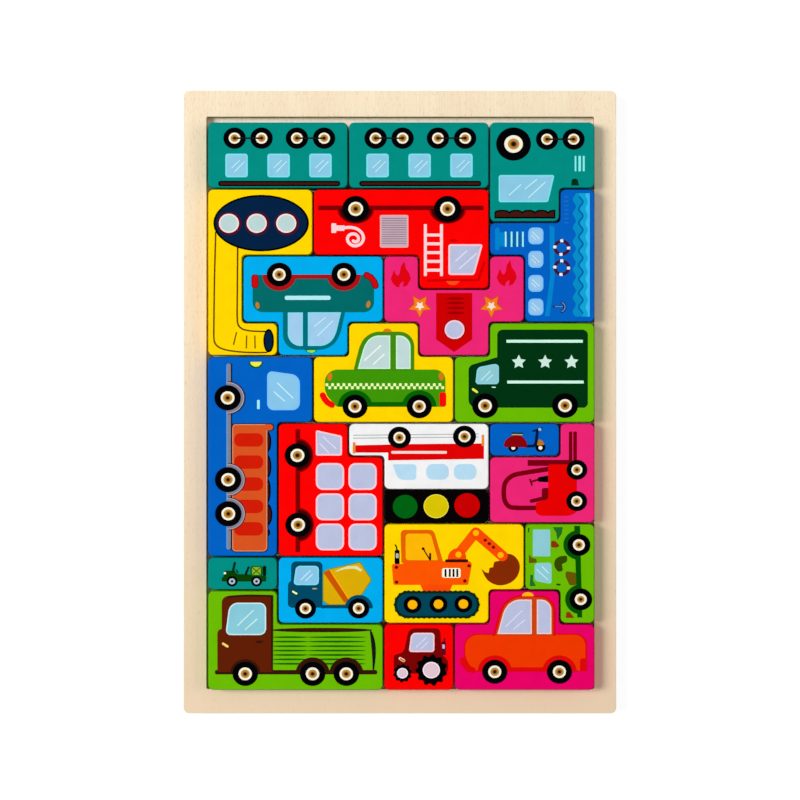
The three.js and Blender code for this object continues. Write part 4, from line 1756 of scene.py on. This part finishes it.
# %% Tractor
stir(
    tractor_red=(120, 4, 3),
    tractor_rim=(252, 238, 244),
    tractor_hub=(228, 198, 212),
)
sheet = Sheet("tractor_block", 0)
hull = [(5.2, 8.0), (31.0, 8.0), (31.2, 14.6), (28.0, 17.0)]
hull += [(27.3, 29.6), (12.4, 29.6), (9.9, 18.0), (5.2, 16.9)]
patch(sheet, "tractor_red", hull, [2, 2, 2, 1, 2, 2.6, 2, 1])
window = [(12.3, 18.3), (24.6, 18.3), (24.6, 27.5), (13.5, 27.5)]
pane(sheet, "lilac_edge", "lilac_glass", window, [1.4, 1.4, 1.6, 2.2], 0.7)
glints(sheet, "lilac_glint", [((15.9, 20.6), (20.6, 25.2)), ((18.2, 20.0), (21.8, 23.2))], 0.5)
line(sheet, "fork_red", [(29.2, 23.2), (29.5, 24.8)], 0.6)
panel(sheet, "porthole_ring", 28.0, 16.8, 29.9, 23.4, 0.6)
panel(sheet, "lilac_glass", 28.4, 19.9, 29.5, 22.0, 0.4)
line(sheet, "star_white", [(8.2, 15.2), (9.9, 14.2)], 1.4)
line(sheet, "lamp_orange", [(8.4, 15.0), (10.0, 14.1)], 0.9)
star(sheet, "tyre", 23.1, 9.7, 7.6, 6.5, 11, 80, 2)
star(sheet, "tyre", 9.3, 8.2, 4.5, 3.9, 10, 80, 2)
disc(sheet, "tractor_rim", 23.1, 9.7, 4.1)
disc(sheet, "tractor_hub", 23.1, 9.7, 3.6)
disc(sheet, "tractor_rim", 9.3, 8.2, 2.6)
disc(sheet, "tractor_hub", 9.3, 8.2, 2.1)
sheet.finish()

# %% [markdown]
# ## The saloon car
# The last car has a red line round its body and cabin. An inset rim would have one width all round, and
# this line is wider in places, so it is a slightly larger red patch under the orange one.

# %% Saloon car
stir(
    saloon_red=(224, 8, 10),
    saloon_orange=(241, 57, 0),
    saloon_post=(203, 68, 16),
    saloon_edge=(250, 208, 206),
)
sheet = Sheet("saloon_car_block", 0)
body = [(5.0, 14.6), (9.4, 9.1), (63.8, 9.1), (63.8, 27.1), (5.0, 27.1)]
patch(sheet, "saloon_red", body, [3, 1, 0.5, 5.4, 6.4])
body = [(5.6, 15.0), (9.8, 9.5), (63.0, 9.5), (63.0, 26.5), (5.6, 26.5)]
patch(sheet, "saloon_orange", body, [3, 1, 0.5, 5, 6])
cabin = [(18.7, 26.0), (48.7, 26.0), (48.7, 45.3), (26.2, 45.3), (22.3, 38.6)]
patch(sheet, "saloon_red", cabin, [0, 0, 7.5, 5.5, 2])
cabin = [(20.0, 26.0), (47.6, 26.0), (47.6, 44.4), (26.9, 44.4), (23.3, 38.2)]
patch(sheet, "saloon_post", cabin, [0, 0, 6.5, 5, 2])
front = [(21.0, 26.9), (37.4, 26.9), (37.4, 43.4), (28.2, 43.4), (24.2, 38.6)]
pane(sheet, "saloon_edge", "lilac_glass", front, [0, 0, 0, 3.5, 2], 0.6)
pane(sheet, "saloon_edge", "lilac_glass", box_points(39.8, 26.9, 46.8, 43.4), [0, 0, 5, 0], 0.6)
glints(sheet, "lilac_glint", [((25.0, 30.6), (32.8, 38.1)), ((28.7, 29.2), (34.0, 33.6))], 0.55)
dome(sheet, "digger_amber", 35.5, 45.0, 2.8, 1.9, 90)
panel(sheet, "saloon_red", 25.0, 8.9, 45.5, 11.0)
for u in (19.7, 50.6):
    arch(sheet, "saloon_red", u, 8.9, 8.2, 5.6)
    wheel(sheet, u, 8.9, 6.0)
line(sheet, "saloon_red", [(4.4, 14.4), (5.4, 12.2), (7.2, 10.3), (9.2, 9.6)], 2.9)
panel(sheet, "saloon_red", 60.4, 9.0, 63.8, 15.3, 1.2)
sheet.finish()
